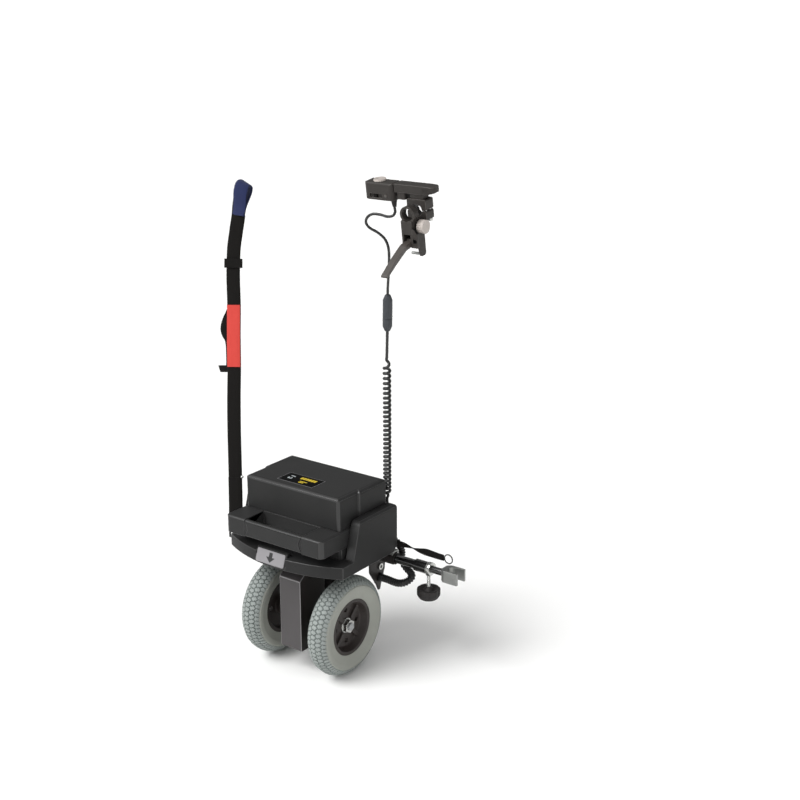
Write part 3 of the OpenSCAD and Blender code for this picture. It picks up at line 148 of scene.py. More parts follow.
def plated(name, dark, light, rough, grain_mm, depth_mm=0.02, stretch=(1, 1, 1)):
    """Bare or plated metal: faint tarnish in the tone, and the marks of how it was worked."""
    made, tree, shader, place = new_material(name)
    along = add(tree, "ShaderNodeMapping", {"Vector": place, "Scale": stretch})
    tarnish_mm = 12
    tarnish = add(tree, "ShaderNodeTexNoise", {"Vector": place, "Scale": per_m(tarnish_mm), "Detail": 5.0})
    marks = add(tree, "ShaderNodeTexNoise",
                {"Vector": along.outputs[0], "Scale": per_m(grain_mm), "Detail": 3.0})
    tree.links.new(two_tones(tree, tarnish.outputs["Fac"], dark, light), shader.inputs["Base Color"])
    sheen = add(tree, "ShaderNodeMapRange",
                {"Value": marks.outputs["Fac"], "To Min": rough - 0.08, "To Max": rough + 0.1})
    tree.links.new(sheen.outputs[0], shader.inputs["Roughness"])
    bump = add(tree, "ShaderNodeBump",
               {"Height": marks.outputs["Fac"], "Strength": 0.4, "Distance": depth_mm * MM})
    tree.links.new(bump.outputs[0], shader.inputs["Normal"])
    shader.inputs["Metallic"].default_value = 1.0
    return made


def painted(name, dark, light, rough, peel_mm, depth_mm, coat, level=0.5):
    """Powder coat or stoved paint on steel: a soft orange peel under an even sheen."""
    made = moulded(name, dark, light, rough, peel_mm, depth_mm, blotch_mm=80, level=level)
    shader = made.node_tree.nodes["Principled BSDF"]
    shader.inputs["Coat Weight"].default_value = coat
    shader.inputs["Coat Roughness"].default_value = 0.08
    return made


def woven(name, dark, light, rough=0.85, rib_mm=1.6, pick_mm=1.1, sheen=0.1, level=0.3):
    """Polyester webbing: lengthwise ribs crossed by picks, drawn a little coarse so that they show."""
    made, tree, shader, place = new_material(name)
    cloth = add(tree, "ShaderNodeTexCoord").outputs["UV"]
    ribs = add(tree, "ShaderNodeTexWave",
               {"Vector": cloth, "Scale": per_wave(rib_mm), "Distortion": 0.3}, bands_direction="X")
    picks = add(tree, "ShaderNodeTexWave",
                {"Vector": cloth, "Scale": per_wave(pick_mm), "Distortion": 0.6}, bands_direction="Y")
    weave = add(tree, "ShaderNodeMath", {0: ribs.outputs["Fac"], 1: picks.outputs["Fac"]},
                operation="MULTIPLY")
    fade_mm, depth_mm = 18, 0.25
    fade = add(tree, "ShaderNodeTexNoise", {"Vector": place, "Scale": per_m(fade_mm), "Detail": 3.0})
    mixed = add(tree, "ShaderNodeMath", {0: weave.outputs[0], 1: fade.outputs["Fac"]}, operation="MULTIPLY")
    tree.links.new(two_tones(tree, mixed.outputs[0], dark, light), shader.inputs["Base Color"])
    bump = add(tree, "ShaderNodeBump",
               {"Height": weave.outputs[0], "Strength": 0.6, "Distance": depth_mm * MM})
    tree.links.new(bump.outputs[0], shader.inputs["Normal"])
    shader.inputs["Roughness"].default_value = rough
    shader.inputs["Sheen Weight"].default_value = sheen
    shader.inputs["Specular IOR Level"].default_value = level
    return made


# ABS, satin: housing, lid and inner moulded pieces, dark and even
abs_black = moulded("abs_satin_black", "282828", "303030", 0.42, 1.2, 0.05, 60, 0.08)
# ABS with a coarser eroded texture: battery case and its handle
abs_charcoal = moulded("abs_grained_charcoal", "2c2c2c", "353535", 0.44, 1.5, 0.06, 50, 0.08)
# Glass-filled nylon: the handset's mouldings, slightly brown
nylon_handset = moulded("nylon_handset", "282523", "35312e", 0.5, 1.0, 0.05, 25, 0.3)
# The same nylon, in a paler tone and smoother: the lever
nylon_lever = moulded("nylon_lever_pale", "393532", "4a4541", 0.36, 1.0, 0.04, 30, 0.5)
# Powder-coated sheet steel: the column
powder_grey = painted("powder_coat_grey", "3b3839", "444142", 0.42, 2.2, 0.05, 0.05, 0.4)
# The same plastic and paint where handling has polished the edges, so that these catch the light; the nylon's
# and the paint's edges are also painted paler than their faces, a painted highlight along them
abs_edge = moulded("abs_edge_polished", "262626", "303030", 0.29, 4.0, 0.01, 60, 0.45)
nylon_edge = moulded("nylon_edge_painted_highlight", "35312e", "423d39", 0.3, 4.0, 0.01, 25, 0.5)
powder_edge = painted("powder_coat_edge_painted_highlight", "757374", "868485", 0.25, 4.0, 0.01, 0.5)
# Stoved black paint: the tubes of the bar, with long bright reflections
gloss_black = painted("stoved_paint_black", "0c0c0c", "141414", 0.2, 4.0, 0.02, 1.0)
# Satin black paint: chassis, pivot arms and motor
satin_black = painted("satin_paint_black", "1a1716", "26211f", 0.45, 2.5, 0.05, 0.05, 0.4)
# Bright zinc on steel, pale and fairly sharp in its reflections
zinc = plated("bright_zinc", "a9abaa", "d2d2ce", 0.26, 1.4)
# Zinc that has gone dull: cast clamps and saddles
zinc_dull = plated("dull_zinc", "7d7f7e", "a3a4a1", 0.46, 1.6, 0.03)
# Drawn steel wire, dulled by handling
wire_steel = plated("dull_steel_wire", "3a3a3b", "525253", 0.42, 1.0)
# Ground steel bar, with fine marks along it
steel = plated("ground_steel", "8f9193", "b3b5b7", 0.28, 0.8, 0.015, (0.08, 1, 1))
# Die-cast aluminium with its sandy skin
cast_aluminium = plated("die_cast_aluminium", "86888a", "a2a4a6", 0.48, 0.9, 0.05)
# Turned bronze, warm, with fine rings
bronze = plated("turned_bronze", "8a6a3c", "b08d57", 0.32, 0.7, 0.02)
# Non-marking grey rubber: dull; the blocks and the sidewall in their own pale tones, and the rubber between
# the blocks darker, a painted shade in the grooves
rubber_tread = moulded("rubber_tread_grey", "878d8b", "999f9c", 0.82, 2.0, 0.12, 9, 0.25)
rubber_groove_shade = moulded("rubber_groove_painted_shade", "6c7371", "7d8482", 0.88, 2.0, 0.12, 12, 0.15)
rubber_wall = moulded("rubber_sidewall_grey", "92948d", "a0a29b", 0.74, 2.4, 0.08, 30, 0.25)
# Glass-filled nylon: the rims, dark brown-black
nylon_rim = moulded("nylon_rim", "292422", "352f2c", 0.46, 1.4, 0.06, 30, 0.35)
# Black rubber: bushes, gland and clamp knobs
rubber_black = moulded("rubber_black", "171514", "231f1e", 0.58, 1.2, 0.06, 20, 0.4)
# PVC sheath with a satin skin
pvc_black = moulded("pvc_cord_black", "121212", "1f1f1f", 0.34, 1.6, 0.03, 15)
# Polypropylene conduit, smooth and dark
conduit_black = moulded("polypropylene_conduit", "0b0b0b", "151515", 0.34, 1.5, 0.03, 15)
# Connector shell, blue-grey
abs_slate = moulded("abs_slate", "2b2e32", "383c41", 0.46, 1.0, 0.05, 12, 0.4)
# Polycarbonate sheet: the foot plate
sheet_grey = moulded("polycarbonate_grey", "7b797b", "8b898c", 0.46, 1.0, 0.03, 30)
# Acetal: the dial and the lever's knob, warm pale grey
acetal_pale = moulded("acetal_pale_grey", "a89f99", "bdb5af", 0.48, 0.9, 0.04, 10)
# Acetal in black: the strap's slider and the slide switch
acetal_black = moulded("acetal_black", "090807", "100e0d", 0.6, 0.9, 0.04, 10, 0.1)
# ABS, grey and smooth: the battery blocks
abs_battery = moulded("abs_battery_grey", "474a4f", "565a60", 0.4, 1.5, 0.04)
# Gloss film over print: the lid's panel
film_black = moulded("gloss_film_black", "030303", "060607", 0.3, 6.0, 0.005, 40, 0.02)
film_border = moulded("film_border_grey", "6d6d6e", "828283", 0.3, 4.0, 0.005, 20)
# Screen-printed inks, flat and slightly glossy
ink_yellow = moulded("ink_yellow", "c2a51c", "d9bf2e", 0.4, 1.0, 0.01, 12)
ink_white = moulded("ink_white", "b3bcbf", "cfd6d8", 0.4, 1.0, 0.01, 12)
ink_dark = moulded("ink_dark", "1c1c1d", "262627", 0.45, 1.0, 0.01, 12)
# Painted shade: near black, for the inside of a recess
recess_painted_shade = moulded("recess_painted_shade", "050505", "0a0a0a", 0.7, 1.0, 0.02, 10, 0.1)
# Smoked lens of the indicator
lens_smoke = moulded("lens_smoked", "3a3633", "4a4642", 0.15, 1.0, 0.01, 6)
# Polyester webbing and bonded thread, dull, with a weave that catches side light
web_black = woven("polyester_webbing_black", "0a0807", "171310", sheen=0.03, level=0.15)
web_blue = woven("polyester_webbing_blue", "161f45", "243060")
web_red = woven("polyester_sleeve_red", "bb372e", "d24a43", 0.75, 2.2, 1.6)
thread_blue = moulded("bonded_thread_blue", "161d48", "232d66", 0.7, 0.8, 0.05, 8)

finishes = {
    abs_black: "base_housing battery_lid motor_end_cap battery_socket cord_socket",
    abs_charcoal: "battery_case carry_handle",
    nylon_handset: "handset_clamp handset_clamp_cap control_arm control_pod lever_box",
    nylon_lever: "drive_lever",
    powder_grey: "column",
    gloss_black: "bar_tube bar_collars extension_left extension_right",
    satin_black: "chassis_plate pivot_frame motor_can",
    zinc: "axle_nuts handset_bolts",
    zinc_dull: "bar_saddles frame_clamp_left frame_clamp_right",
    wire_steel: "strap_hook tether_ring",
    steel: "axle axle_bearings armature lever_pin",
    cast_aluminium: "gear_case_left gear_case_right controller",
    bronze: "worm_wheel",
    nylon_rim: "rim_left rim_right",
    rubber_black: "pivot_bushes clamp_knob_left clamp_knob_right cable_gland",
    acetal_black: "strap_slider power_switch",
    conduit_black: "loom_glands",
    abs_slate: "inline_connector",
    sheet_grey: "push_plate",
    acetal_pale: "speed_dial lever_knob",
    abs_battery: "battery_cells",
}
# Each finish's edge finish: glossier, and on the nylon and the column's paint also paler, a painted highlight
edge_gloss_and_highlight = {
    abs_black: abs_edge, abs_charcoal: abs_edge, nylon_handset: nylon_edge, powder_grey: powder_edge,
}
for coat, names in finishes.items():
    for name in names.split():
        mesh = nodes[name].data
        mesh.materials.clear()
        mesh.materials.append(coat)

# The column's side faces, picked by their direction, are painted black; this black stands in partly for black
# paint and partly for the deep shade between the column and the wheels, a painted shade. The rest of it is
# grey
column = nodes["column"].data
column.materials.append(satin_black)
for face in column.polygons:
    face.material_index = 1 if abs(face.normal.x) > 0.7 else 0

# Top of the housing's deck above the floor, in mm
deck_top = 272


def polish_rounds(mesh, slot):
    """The rounded edges above the deck are polished too; the broad curve of the foot rim is not."""
    for face in mesh.polygons:
        slanting = max(abs(part) for part in face.normal) < 0.98
        if slanting and face.center.z > at(0, 0, deck_top).z:
            face.material_index = slot


# Softened edges on the solids: width in mm for each
edges = {
    1.4: "base_housing",
    1.2: "carry_handle battery_lid column",
    1.0: "battery_case",
    0.8: "chassis_plate pivot_frame control_arm control_pod handset_clamp handset_clamp_cap",
    0.6: "rim_left rim_right axle_nuts gear_case_left gear_case_right motor_can "
         "frame_clamp_left frame_clamp_right",
    0.5: "clamp_knob_left clamp_knob_right bar_collars bar_tube bar_saddles drive_lever",
    0.4: "strap_slider inline_connector loom_glands cable_gland extension_left extension_right "
         "power_switch push_plate lever_box cord_socket",
    0.2: "speed_dial lever_knob",
}
crease_angle = math.radians(32)


def shade_and_join(solid):
    """Smooth shading over a solid whose loose triangles are joined."""
    take(solid)
    bpy.ops.object.shade_smooth()
    solid.modifiers.new("joined", "WELD").merge_threshold = 0.01 * MM


for width, names in edges.items():
    for name in names.split():
        solid = nodes[name]
        shade_and_join(solid)
        flat = solid.modifiers.new("flat_faces", "DECIMATE")
        flat.decimate_type = "DISSOLVE"
        flat.angle_limit = math.radians(0.5)
        soft = solid.modifiers.new("soft_edges", "BEVEL")
        soft.width = width * MM
        soft.segments = 3
        soft.limit_method = "ANGLE"
        soft.angle_limit = crease_angle
        soft.use_clamp_overlap = False
        # The bevels take the edge finish: glossier, and on the nylon and the column paler, a painted
        # highlight
        coat = solid.data.materials[0]
        if coat in edge_gloss_and_highlight:
            solid.data.materials.append(edge_gloss_and_highlight[coat])
            soft.material = len(solid.data.materials) - 1
            if edge_gloss_and_highlight[coat] == abs_edge:
                polish_rounds(solid.data, soft.material)
        solid.modifiers.new("even_shade", "WEIGHTED_NORMAL").weight = 100
for name in "strap_hook axle axle_bearings armature lever_pin tether_ring worm_wheel pivot_bushes".split():
    shade_and_join(nodes[name])
    nodes[name].modifiers.new("crease", "EDGE_SPLIT").split_angle = crease_angle


# Lofts for cords and webbing
def spline(points, steps):
    """Smooth curve through the points, the same as the solids' own."""
    out = []
    last = len(points) - 1
    for i in range(last):
        a, b, c, d = points[max(i - 1, 0)], points[i], points[i + 1], points[min(i + 2, last)]
        for s in range(steps):
            t = s / steps
            out.append(0.5 * (2 * b + (c - a) * t + (2 * a - 5 * b + 4 * c - d) * t * t
                              + (3 * b - a - 3 * c + d) * t ** 3))
    return out + [points[last]]


def distances(points):
    """Distance along the points, from the first to each."""
    runs = [0.0]
    for a, b in zip(points, points[1:]):
        runs.append(runs[-1] + (b - a).length)
    return runs


def heading(points, i):
    """Direction of the run at its point i."""
    return (points[min(i + 1, len(points) - 1)] - points[max(i - 1, 0)]).normalized()


def side_of(direction):
    """A direction square to this one."""
    helper = Vector((0, 0, 1)) if abs(direction.z) < 0.9 else Vector((1, 0, 0))
    return direction.cross(helper).normalized()


def loft(name, rings, runs, material):
    """Closed skin over rings of points, with its ends capped and a UV map in metres."""
    count = len(rings[0])
    verts = [tuple(p) for ring in rings for p in ring]
    faces, uvs = [], []
    girth = [0.0]
    for a, b in zip(rings[0], rings[0][1:] + rings[0][:1]):
        girth.append(girth[-1] + (b - a).length)
    for i in range(len(rings) - 1):
        for j in range(count):
            k = (j + 1) % count
            faces.append((i * count + j, i * count + k, (i + 1) * count + k, (i + 1) * count + j))
            uvs += [(girth[j], runs[i]), (girth[j + 1], runs[i]),
                    (girth[j + 1], runs[i + 1]), (girth[j], runs[i + 1])]
    start, end = list(range(count - 1, -1, -1)), [(len(rings) - 1) * count + j for j in range(count)]
    faces += [tuple(start), tuple(end)]
    uvs += [(girth[j], runs[0]) for j in start] + [(girth[j % count], runs[-1]) for j in end]
    mesh = bpy.data.meshes.new(name)
    mesh.from_pydata(verts, [], faces)
    layer = mesh.uv_layers.new(name="cloth")
    for loop, uv in zip(layer.data, uvs):
        loop.uv = uv
    obj = bpy.data.objects.new(name, mesh)
    bpy.context.scene.collection.objects.link(obj)
    mesh.materials.append(material)
    take(obj)
    edit_all()
    bpy.ops.mesh.normals_make_consistent(inside=False)
    bpy.ops.object.mode_set(mode="OBJECT")
    bpy.ops.object.shade_smooth_by_angle(angle=math.radians(40))
    return obj


def tube(name, points, radii, sides, material):
    """A round skin along the points, with a radius for each."""
    around = [TURN * j / sides for j in range(sides)]
    rings, carried = [], None
    for i, p in enumerate(points):
        t = heading(points, i)
        carried = side_of(t) if carried is None else (carried - carried.dot(t) * t).normalized()
        other = t.cross(carried)
        rings.append([p + radii[i] * (math.cos(a) * carried + math.sin(a) * other) for a in around])
    return loft(name, rings, distances(points), material)


def ribbon(name, points, wide, width, thick, material, twists=None, shifts=None):
    """Flat webbing with rounded selvedges, its width along wide.

    At each point it is turned by twists in degrees and moved off its route by shifts in mm.
    """
    half, edge = width * MM / 2, thick * MM / 2
    crown, corner_in, corner_up = edge * 1.06, edge * 0.3, edge * 0.6
    first_half = [(-half + edge, -edge), (-half / 3, -crown), (half / 3, -crown), (half - edge, -edge),
                  (half - corner_in, -corner_up), (half, 0), (half - corner_in, corner_up)]
    profile = first_half + [(-a, -b) for a, b in first_half]
    rings = []
    for i, p in enumerate(points):
        t = heading(points, i)
        u = (wide - wide.dot(t) * t).normalized()
        v = t.cross(u)
        turn = math.radians(twists[i]) if twists else 0
        u, v = math.cos(turn) * u + math.sin(turn) * v, math.cos(turn) * v - math.sin(turn) * u
        off = (shifts[i] if shifts else 0) * MM
        rings.append([p + u * a + v * (b + off) for a, b in profile])
    return loft(name, rings, distances(points), material)


# Curly cord: from the connector down to its socket
cord_d, curl_od = 5.8 * MM, 17 * MM
curls, curl_steps = 30, 16
curl_r = (curl_od - cord_d) / 2
lead_top, coil_top, coil_foot = at(135, 72, 683), at(129.9, 77.1, 632), at(109, 105, 336)
socket_top = at(109, 105, 322)
axis = (coil_foot - coil_top).normalized()
u_axis = side_of(axis)
v_axis = axis.cross(u_axis)
lead = (lead_top - coil_top).normalized()
curl_path = [lead_top, lead_top - 2 * cord_d * lead, coil_top + 2 * cord_d * lead]
steps = curls * curl_steps
# The coil bows ahead, clear of the battery pack's way up; its first and last turn are drawn out, and its own
# weight opens the upper turns
bow = Vector((-7.5, 10.5, 0)) * MM
sag = 0.2
for i in range(steps + 1):
    open_turn = min(1, min(i, steps - i) / curl_steps)
    ease = open_turn ** 2 * (3 - 2 * open_turn)
    angle = TURN * i / curl_steps
    even = (i + min(i, curl_steps) + max(0, i - steps + curl_steps)) / (steps + 2 * curl_steps)
    share = even + sag * even * (1 - even)
    curl_path.append(coil_top + share * (coil_foot - coil_top) + math.sin(math.pi * share) ** 2 * bow
                     + ease * curl_r * (math.cos(angle) * u_axis + math.sin(angle) * v_axis))
curl_path += [socket_top + Vector((0, 0, 5)) * MM, socket_top]
curly = tube("curly_cord_run", curl_path, [cord_d / 2] * len(curl_path), 10, pvc_black)
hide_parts("curly_cord")
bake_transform(curly)

# Handset cable: from the gland to the connector
cable_d = 5 * MM
cable_route = [at(*p) for p in (
    (159, 62.3, 915), (159, 63.04, 910.05), (159, 63.78, 905.1), (155, 62.5, 898.5), (146, 58.5, 896.5),
    (133, 55, 899), (119, 51, 899.5), (109, 48, 893), (106, 48, 883), (113, 50, 874), (128, 55, 866),
    (140, 60, 854), (146, 62, 836), (146, 62.5, 805), (143.6, 62.2, 768.8), (142.8, 63.1, 760.9),
    (142, 64, 753))]
cable_path = spline(cable_route, 6)
cable = tube("handset_cable_run", cable_path, [cable_d / 2] * len(cable_path), 12, pvc_black)
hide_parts("handset_cable")
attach(cable, "chair_mount")

# Ribbed loom: conduit between the pivot arm and the housing, measured from the bar's axis
loom_route = [Vector(p) * MM for p in (
    (94, -5, -48), (102, -5, -48), (110, -5, -48), (122, -6, -48.5), (135, -8, -47.5), (148, -8.5, -44),
    (158, -4.5, -38.5), (161.5, 3, -32.5), (156, 10, -28), (142, 16, -24), (128, 22, -18), (121, 27, -9),
    (120, 28.5, 1), (118, 27, 11), (114, 23, 21), (108, 16, 30), (104, 6, 35), (104, -2, 35), (104, -10, 35))]
loom_curve = spline(loom_route, 12)
# Radii in mm over one rib: its valley, flank, top and flank
loom_ribs, rib_radii = 40, (5.9, 5.9, 7.0, 7.6, 7.6, 7.0)
loom_rings = loom_ribs * len(rib_radii)
loom_path = []
for i in range(loom_rings + 1):
    s = i / loom_rings * (len(loom_curve) - 1)
    k = min(int(s), len(loom_curve) - 2)
    loom_path.append(loom_curve[k].lerp(loom_curve[k + 1], s - k))
loom_radii = [rib_radii[i % len(rib_radii)] * MM for i in range(len(loom_path))]
loom = tube("ribbed_loom_run", loom_path, loom_radii, 20, conduit_black)
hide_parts("loom")
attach(loom, "drive_unit")

# Lifting strap: its foot is at the drive unit, and its top at the fixed mount
strap_side = Vector((1, 0.25, 0)).normalized()
strap_route = [at(*p) for p in (
    (-139, -61, 274.3), (-139, -61, 284), (-143, -54, 308), (-157, -37, 390), (-168, -24, 457),
    (-177, -12, 513), (-184, 0, 577), (-193, 12, 637), (-201, 24, 694), (-209, 33, 743), (-213, 40, 780),
    (-214, 45, 808), (-211, 53, 850), (-211, 57, 865))]
strap_path = spline(strap_route, 10)


def hang(piece):
    """For the strap and what is low on it: its place is baked into its mesh, on no body."""
    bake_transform(piece)


strap = ribbon("strap_web", strap_path, strap_side, 30, 1.6, web_black)
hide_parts("lift_strap")
hang(strap)

# The strap's foot is doubled and sewn round the hook, up to a steel pin
foot_points, foot_off = 21, -1.7
foot_path = spline(strap_route[1:4], 12)[:foot_points]
doubled = ribbon("strap_doubled_foot", foot_path, strap_side, 29.4, 1.5, web_black,
                 shifts=[foot_off] * foot_points)
hang(doubled)

# Red sleeve, on the strap's rear face
sleeve_off = -1.75
sleeve_path = spline(strap_route[6:9], 12)
sleeve = ribbon("strap_red_sleeve", sleeve_path, strap_side, 29, 1.4, web_red,
                shifts=[sleeve_off] * len(sleeve_path))
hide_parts("strap_tag")
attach(sleeve, "chair_mount")

# Blue loop at the strap's top: it leans ahead, and its crown is turned a little
loop_lean, crown_turn = -24, 20
tip = Matrix.Translation(strap_route[-1]) @ Matrix.Rotation(math.radians(loop_lean), 4, "X")
loop_route = [tip @ (Vector((0, y, z)) * MM) for y, z in (
    (-2.2, -2), (-2, 4), (-2, 9), (-4.5, 20), (-10, 36), (-12, 48), (-10, 59), (0, 64), (9, 59), (10.5, 48),
    (8, 36), (3.5, 20), (2, 9), (2, 4), (2.2, -2))]
loop_path = spline(loop_route, 8)
loop_last = len(loop_path) - 1
loop_turns = [crown_turn * math.sin(math.pi * i / loop_last) ** 2 for i in range(loop_last + 1)]
blue_loop = ribbon("strap_blue_loop", loop_path, Vector((1, 0, 0)), 29, 1.5, web_blue, loop_turns)
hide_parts("strap_loop")
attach(blue_loop, "chair_mount")

# The strap's second leg runs ahead of the first, from the loop down through the slider; it bulges out beside
# the sleeve, and its cut tail stands out below
leg_route = [at(*p) for p in (
    (-217, 69, 902), (-219, 66, 882), (-219, 62, 860), (-221, 56, 830), (-220, 51, 800), (-216, 42, 770),
    (-212.5, 36.5, 743), (-208.5, 31, 712), (-205, 27, 690), (-209, 24, 674), (-217, 21, 657),
    (-218, 18, 643), (-206, 14.5, 631), (-200, 11.5, 618), (-195.7, 7, 595), (-193, 3.5, 577))]
leg_path = spline(leg_route, 6)
leg = ribbon("strap_second_leg", leg_path, strap_side, 26, 1.5, web_black)
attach(leg, "chair_mount")
tail_path = spline([at(-192, 4, 571), at(-205, 3.5, 569), at(-217, 3, 567), at(-226, 2.5, 565.5)], 6)
tail = ribbon("strap_tail", tail_path, Vector((0, -0.2, 1)), 15, 1.5, web_black)
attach(tail, "chair_mount")

# Safety tether, with half a twist in it
tether_route = [at(*p) for p in (
    (127, 97.5, 252), (150, 106, 248), (176, 109, 245), (202, 110, 244), (226, 110, 243), (240, 110, 243))]
tether_path = spline(tether_route, 10)
tether_twists = [0, 20, 80, 150, 175, 180]
tether_turns = [v.x for v in spline([Vector((a, 0, 0)) for a in tether_twists], 10)]
tether = ribbon("tether_web", tether_path, Vector((0, 0, 1)), 13, 1.6, web_black, tether_turns)
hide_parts("tether_strap")
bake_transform(tether)


# Modelling by hand
def outline(points):
    """A filled outline in its own plane: x and y in mm."""
    bpy.ops.object.select_all(action="DESELECT")
    bpy.ops.mesh.primitive_circle_add(vertices=len(points), radius=MM, fill_type="NGON")
    made = bpy.context.object
    for v, (x, y) in zip(made.data.vertices, points):
        v.co = (x * MM, y * MM, 0)
    return made


def prism(points, height):
    """The outline extruded upwards by height in mm, its top face left selected in edit mode."""
    made = outline(points)
    edit_all()
    bpy.ops.mesh.extrude_region_move(TRANSFORM_OT_translate={"value": (0, 0, height * MM)})
    return made


def spun(points, turns=48):
    """A ring spun round X from points of (along X, radius) in mm."""
    bpy.ops.object.select_all(action="DESELECT")
    bpy.ops.mesh.primitive_circle_add(vertices=len(points), radius=MM, fill_type="NOTHING")
    made = bpy.context.object
    for v, (x, r) in zip(made.data.vertices, points):
        v.co = (x * MM, 0, r * MM)
    edit_all()
    bpy.ops.mesh.spin(steps=turns, angle=TURN, center=(0, 0, 0), axis=(1, 0, 0))
    bpy.ops.mesh.select_all(action="SELECT")
    bpy.ops.mesh.remove_doubles(threshold=0.002 * MM)
    bpy.ops.mesh.normals_make_consistent(inside=False)
    bpy.ops.object.mode_set(mode="OBJECT")
    return made


def finish(made, name, material, body, place=Matrix(), round_mm=0.0):
    """Names a piece, rounds its sharp edges, puts it in place and on its body."""
    bpy.ops.object.mode_set(mode="OBJECT")
    take(made)
    edit_all()
    bpy.ops.mesh.normals_make_consistent(inside=False)
    bpy.ops.object.mode_set(mode="OBJECT")
    made.name = name
    made.data.name = name
    if round_mm:
        soft = made.modifiers.new("round", "BEVEL")
        soft.width, soft.segments = round_mm * MM, 3
        soft.limit_method, soft.angle_limit = "ANGLE", math.radians(35)
        bpy.ops.object.modifier_apply(modifier="round")
    bpy.ops.object.shade_smooth_by_angle(angle=math.radians(40))
    if not made.data.materials:
        made.data.materials.append(material)
    made.data.transform(place)
    if body:
        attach(made, body)
    return made


def twin(made, name, body, place):
    """A copy with its own mesh, moved by place."""
    other = made.copy()
    other.data = made.data.copy()
    other.name = other.data.name = name
    bpy.context.scene.collection.objects.link(other)
    other.data.transform(place)
    if place.determinant() < 0:
        other.data.flip_normals()
    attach(other, body)


# Turns a piece drawn upwards to face the rear, and mirrors one across the middle
UP_TO_Y = Matrix.Rotation(math.radians(90), 4, "X")
MIRROR_X = Matrix.Scale(-1, 4, Vector((1, 0, 0)))


# Tyres: an oval carcass spun from its section, and rows of interlocking blocks round the crown
wheel_x, axle_z, wheel_r = 84, 100, 100
bulge_x, bulge_r, core_r = 23, 20, 80
bead_x, bead_r = 17, 57
groove = 2.3
# Angles from the crown in degrees: the section's end and step, the tread's end and its ramp, a fine line sunk
# in the sidewall, and the end of the darker rubber between the blocks, which is painted shade in the grooves
section_end, section_step, tread_end, tread_ramp, line_at, groove_shade_end = 120, 8, 78, 8, 96, 76
line_depth = 0.5
blocks_round = 66
block_columns = (-58, -29, 0, 29, 58)
# Half width across the tyre, half length round it, step of the zigzag edge, and the part that the block fills
block_w, block_l, zigzag, block_fill = 7.4, 4.75, 1.5, 0.87
# A shoulder block reaches further out; each block narrows to its top, whose middle stands proud of its rim
shoulder, shoulder_reach = 40, 1.3
block_taper, block_rim = (0.9, 0.88, 1), 0.8
proud_w, proud_l = 0.62 * block_w, 0.66 * block_l
middle_sink, rim_sink, root_sink = 0.1, 0.35, groove + 1
# Mean radius of the section, which the block is bent round
section_r = 22


def section(angle, sink=0.0):
    """Point of the tyre's oval section in mm: across the wheel, and out from the axle."""
    return ((bulge_x - sink) * math.sin(angle), core_r + (bulge_r - sink) * math.cos(angle))


def block_at(column, mirror):
    """One block with zigzag ends, raised, narrowed at its top and laid on the crown."""
    half, step = block_w / 2, zigzag * mirror
    shape = [(block_w, 0), (half, block_l), (1, block_l - step), (-1, block_l + step), (-half, block_l),
             (-block_w, 0), (-half, -block_l), (-1, -block_l + step), (1, -block_l - step), (half, -block_l)]
    if abs(column) > shoulder:
        shape = [(x * (shoulder_reach if x * column > 0 else 1), y) for x, y in shape]
    block = prism([(x * block_fill, y * block_fill) for x, y in shape], 1)
    bpy.ops.transform.resize(value=block_taper)
    bpy.ops.mesh.inset(thickness=block_rim * MM, depth=0)
    bpy.ops.mesh.select_all(action="SELECT")
    bpy.ops.mesh.normals_make_consistent(inside=False)
    bpy.ops.object.mode_set(mode="OBJECT")
    top = max(v.co.z for v in block.data.vertices)
    crown = {i for face in block.data.polygons if face.center.z > 0.99 * top for i in face.vertices}
    for v in block.data.vertices:
        across, along = v.co.x / MM, v.co.y / MM
        inner = abs(across) < proud_w and abs(along) < proud_l
        sink = root_sink
        if v.index in crown:
            sink = middle_sink if inner else rim_sink
        x, r = section(math.radians(column) + across / section_r, sink)
        roll = along / wheel_r
        v.co = Vector((x, r * math.sin(roll), r * math.cos(roll))) * MM
    return block


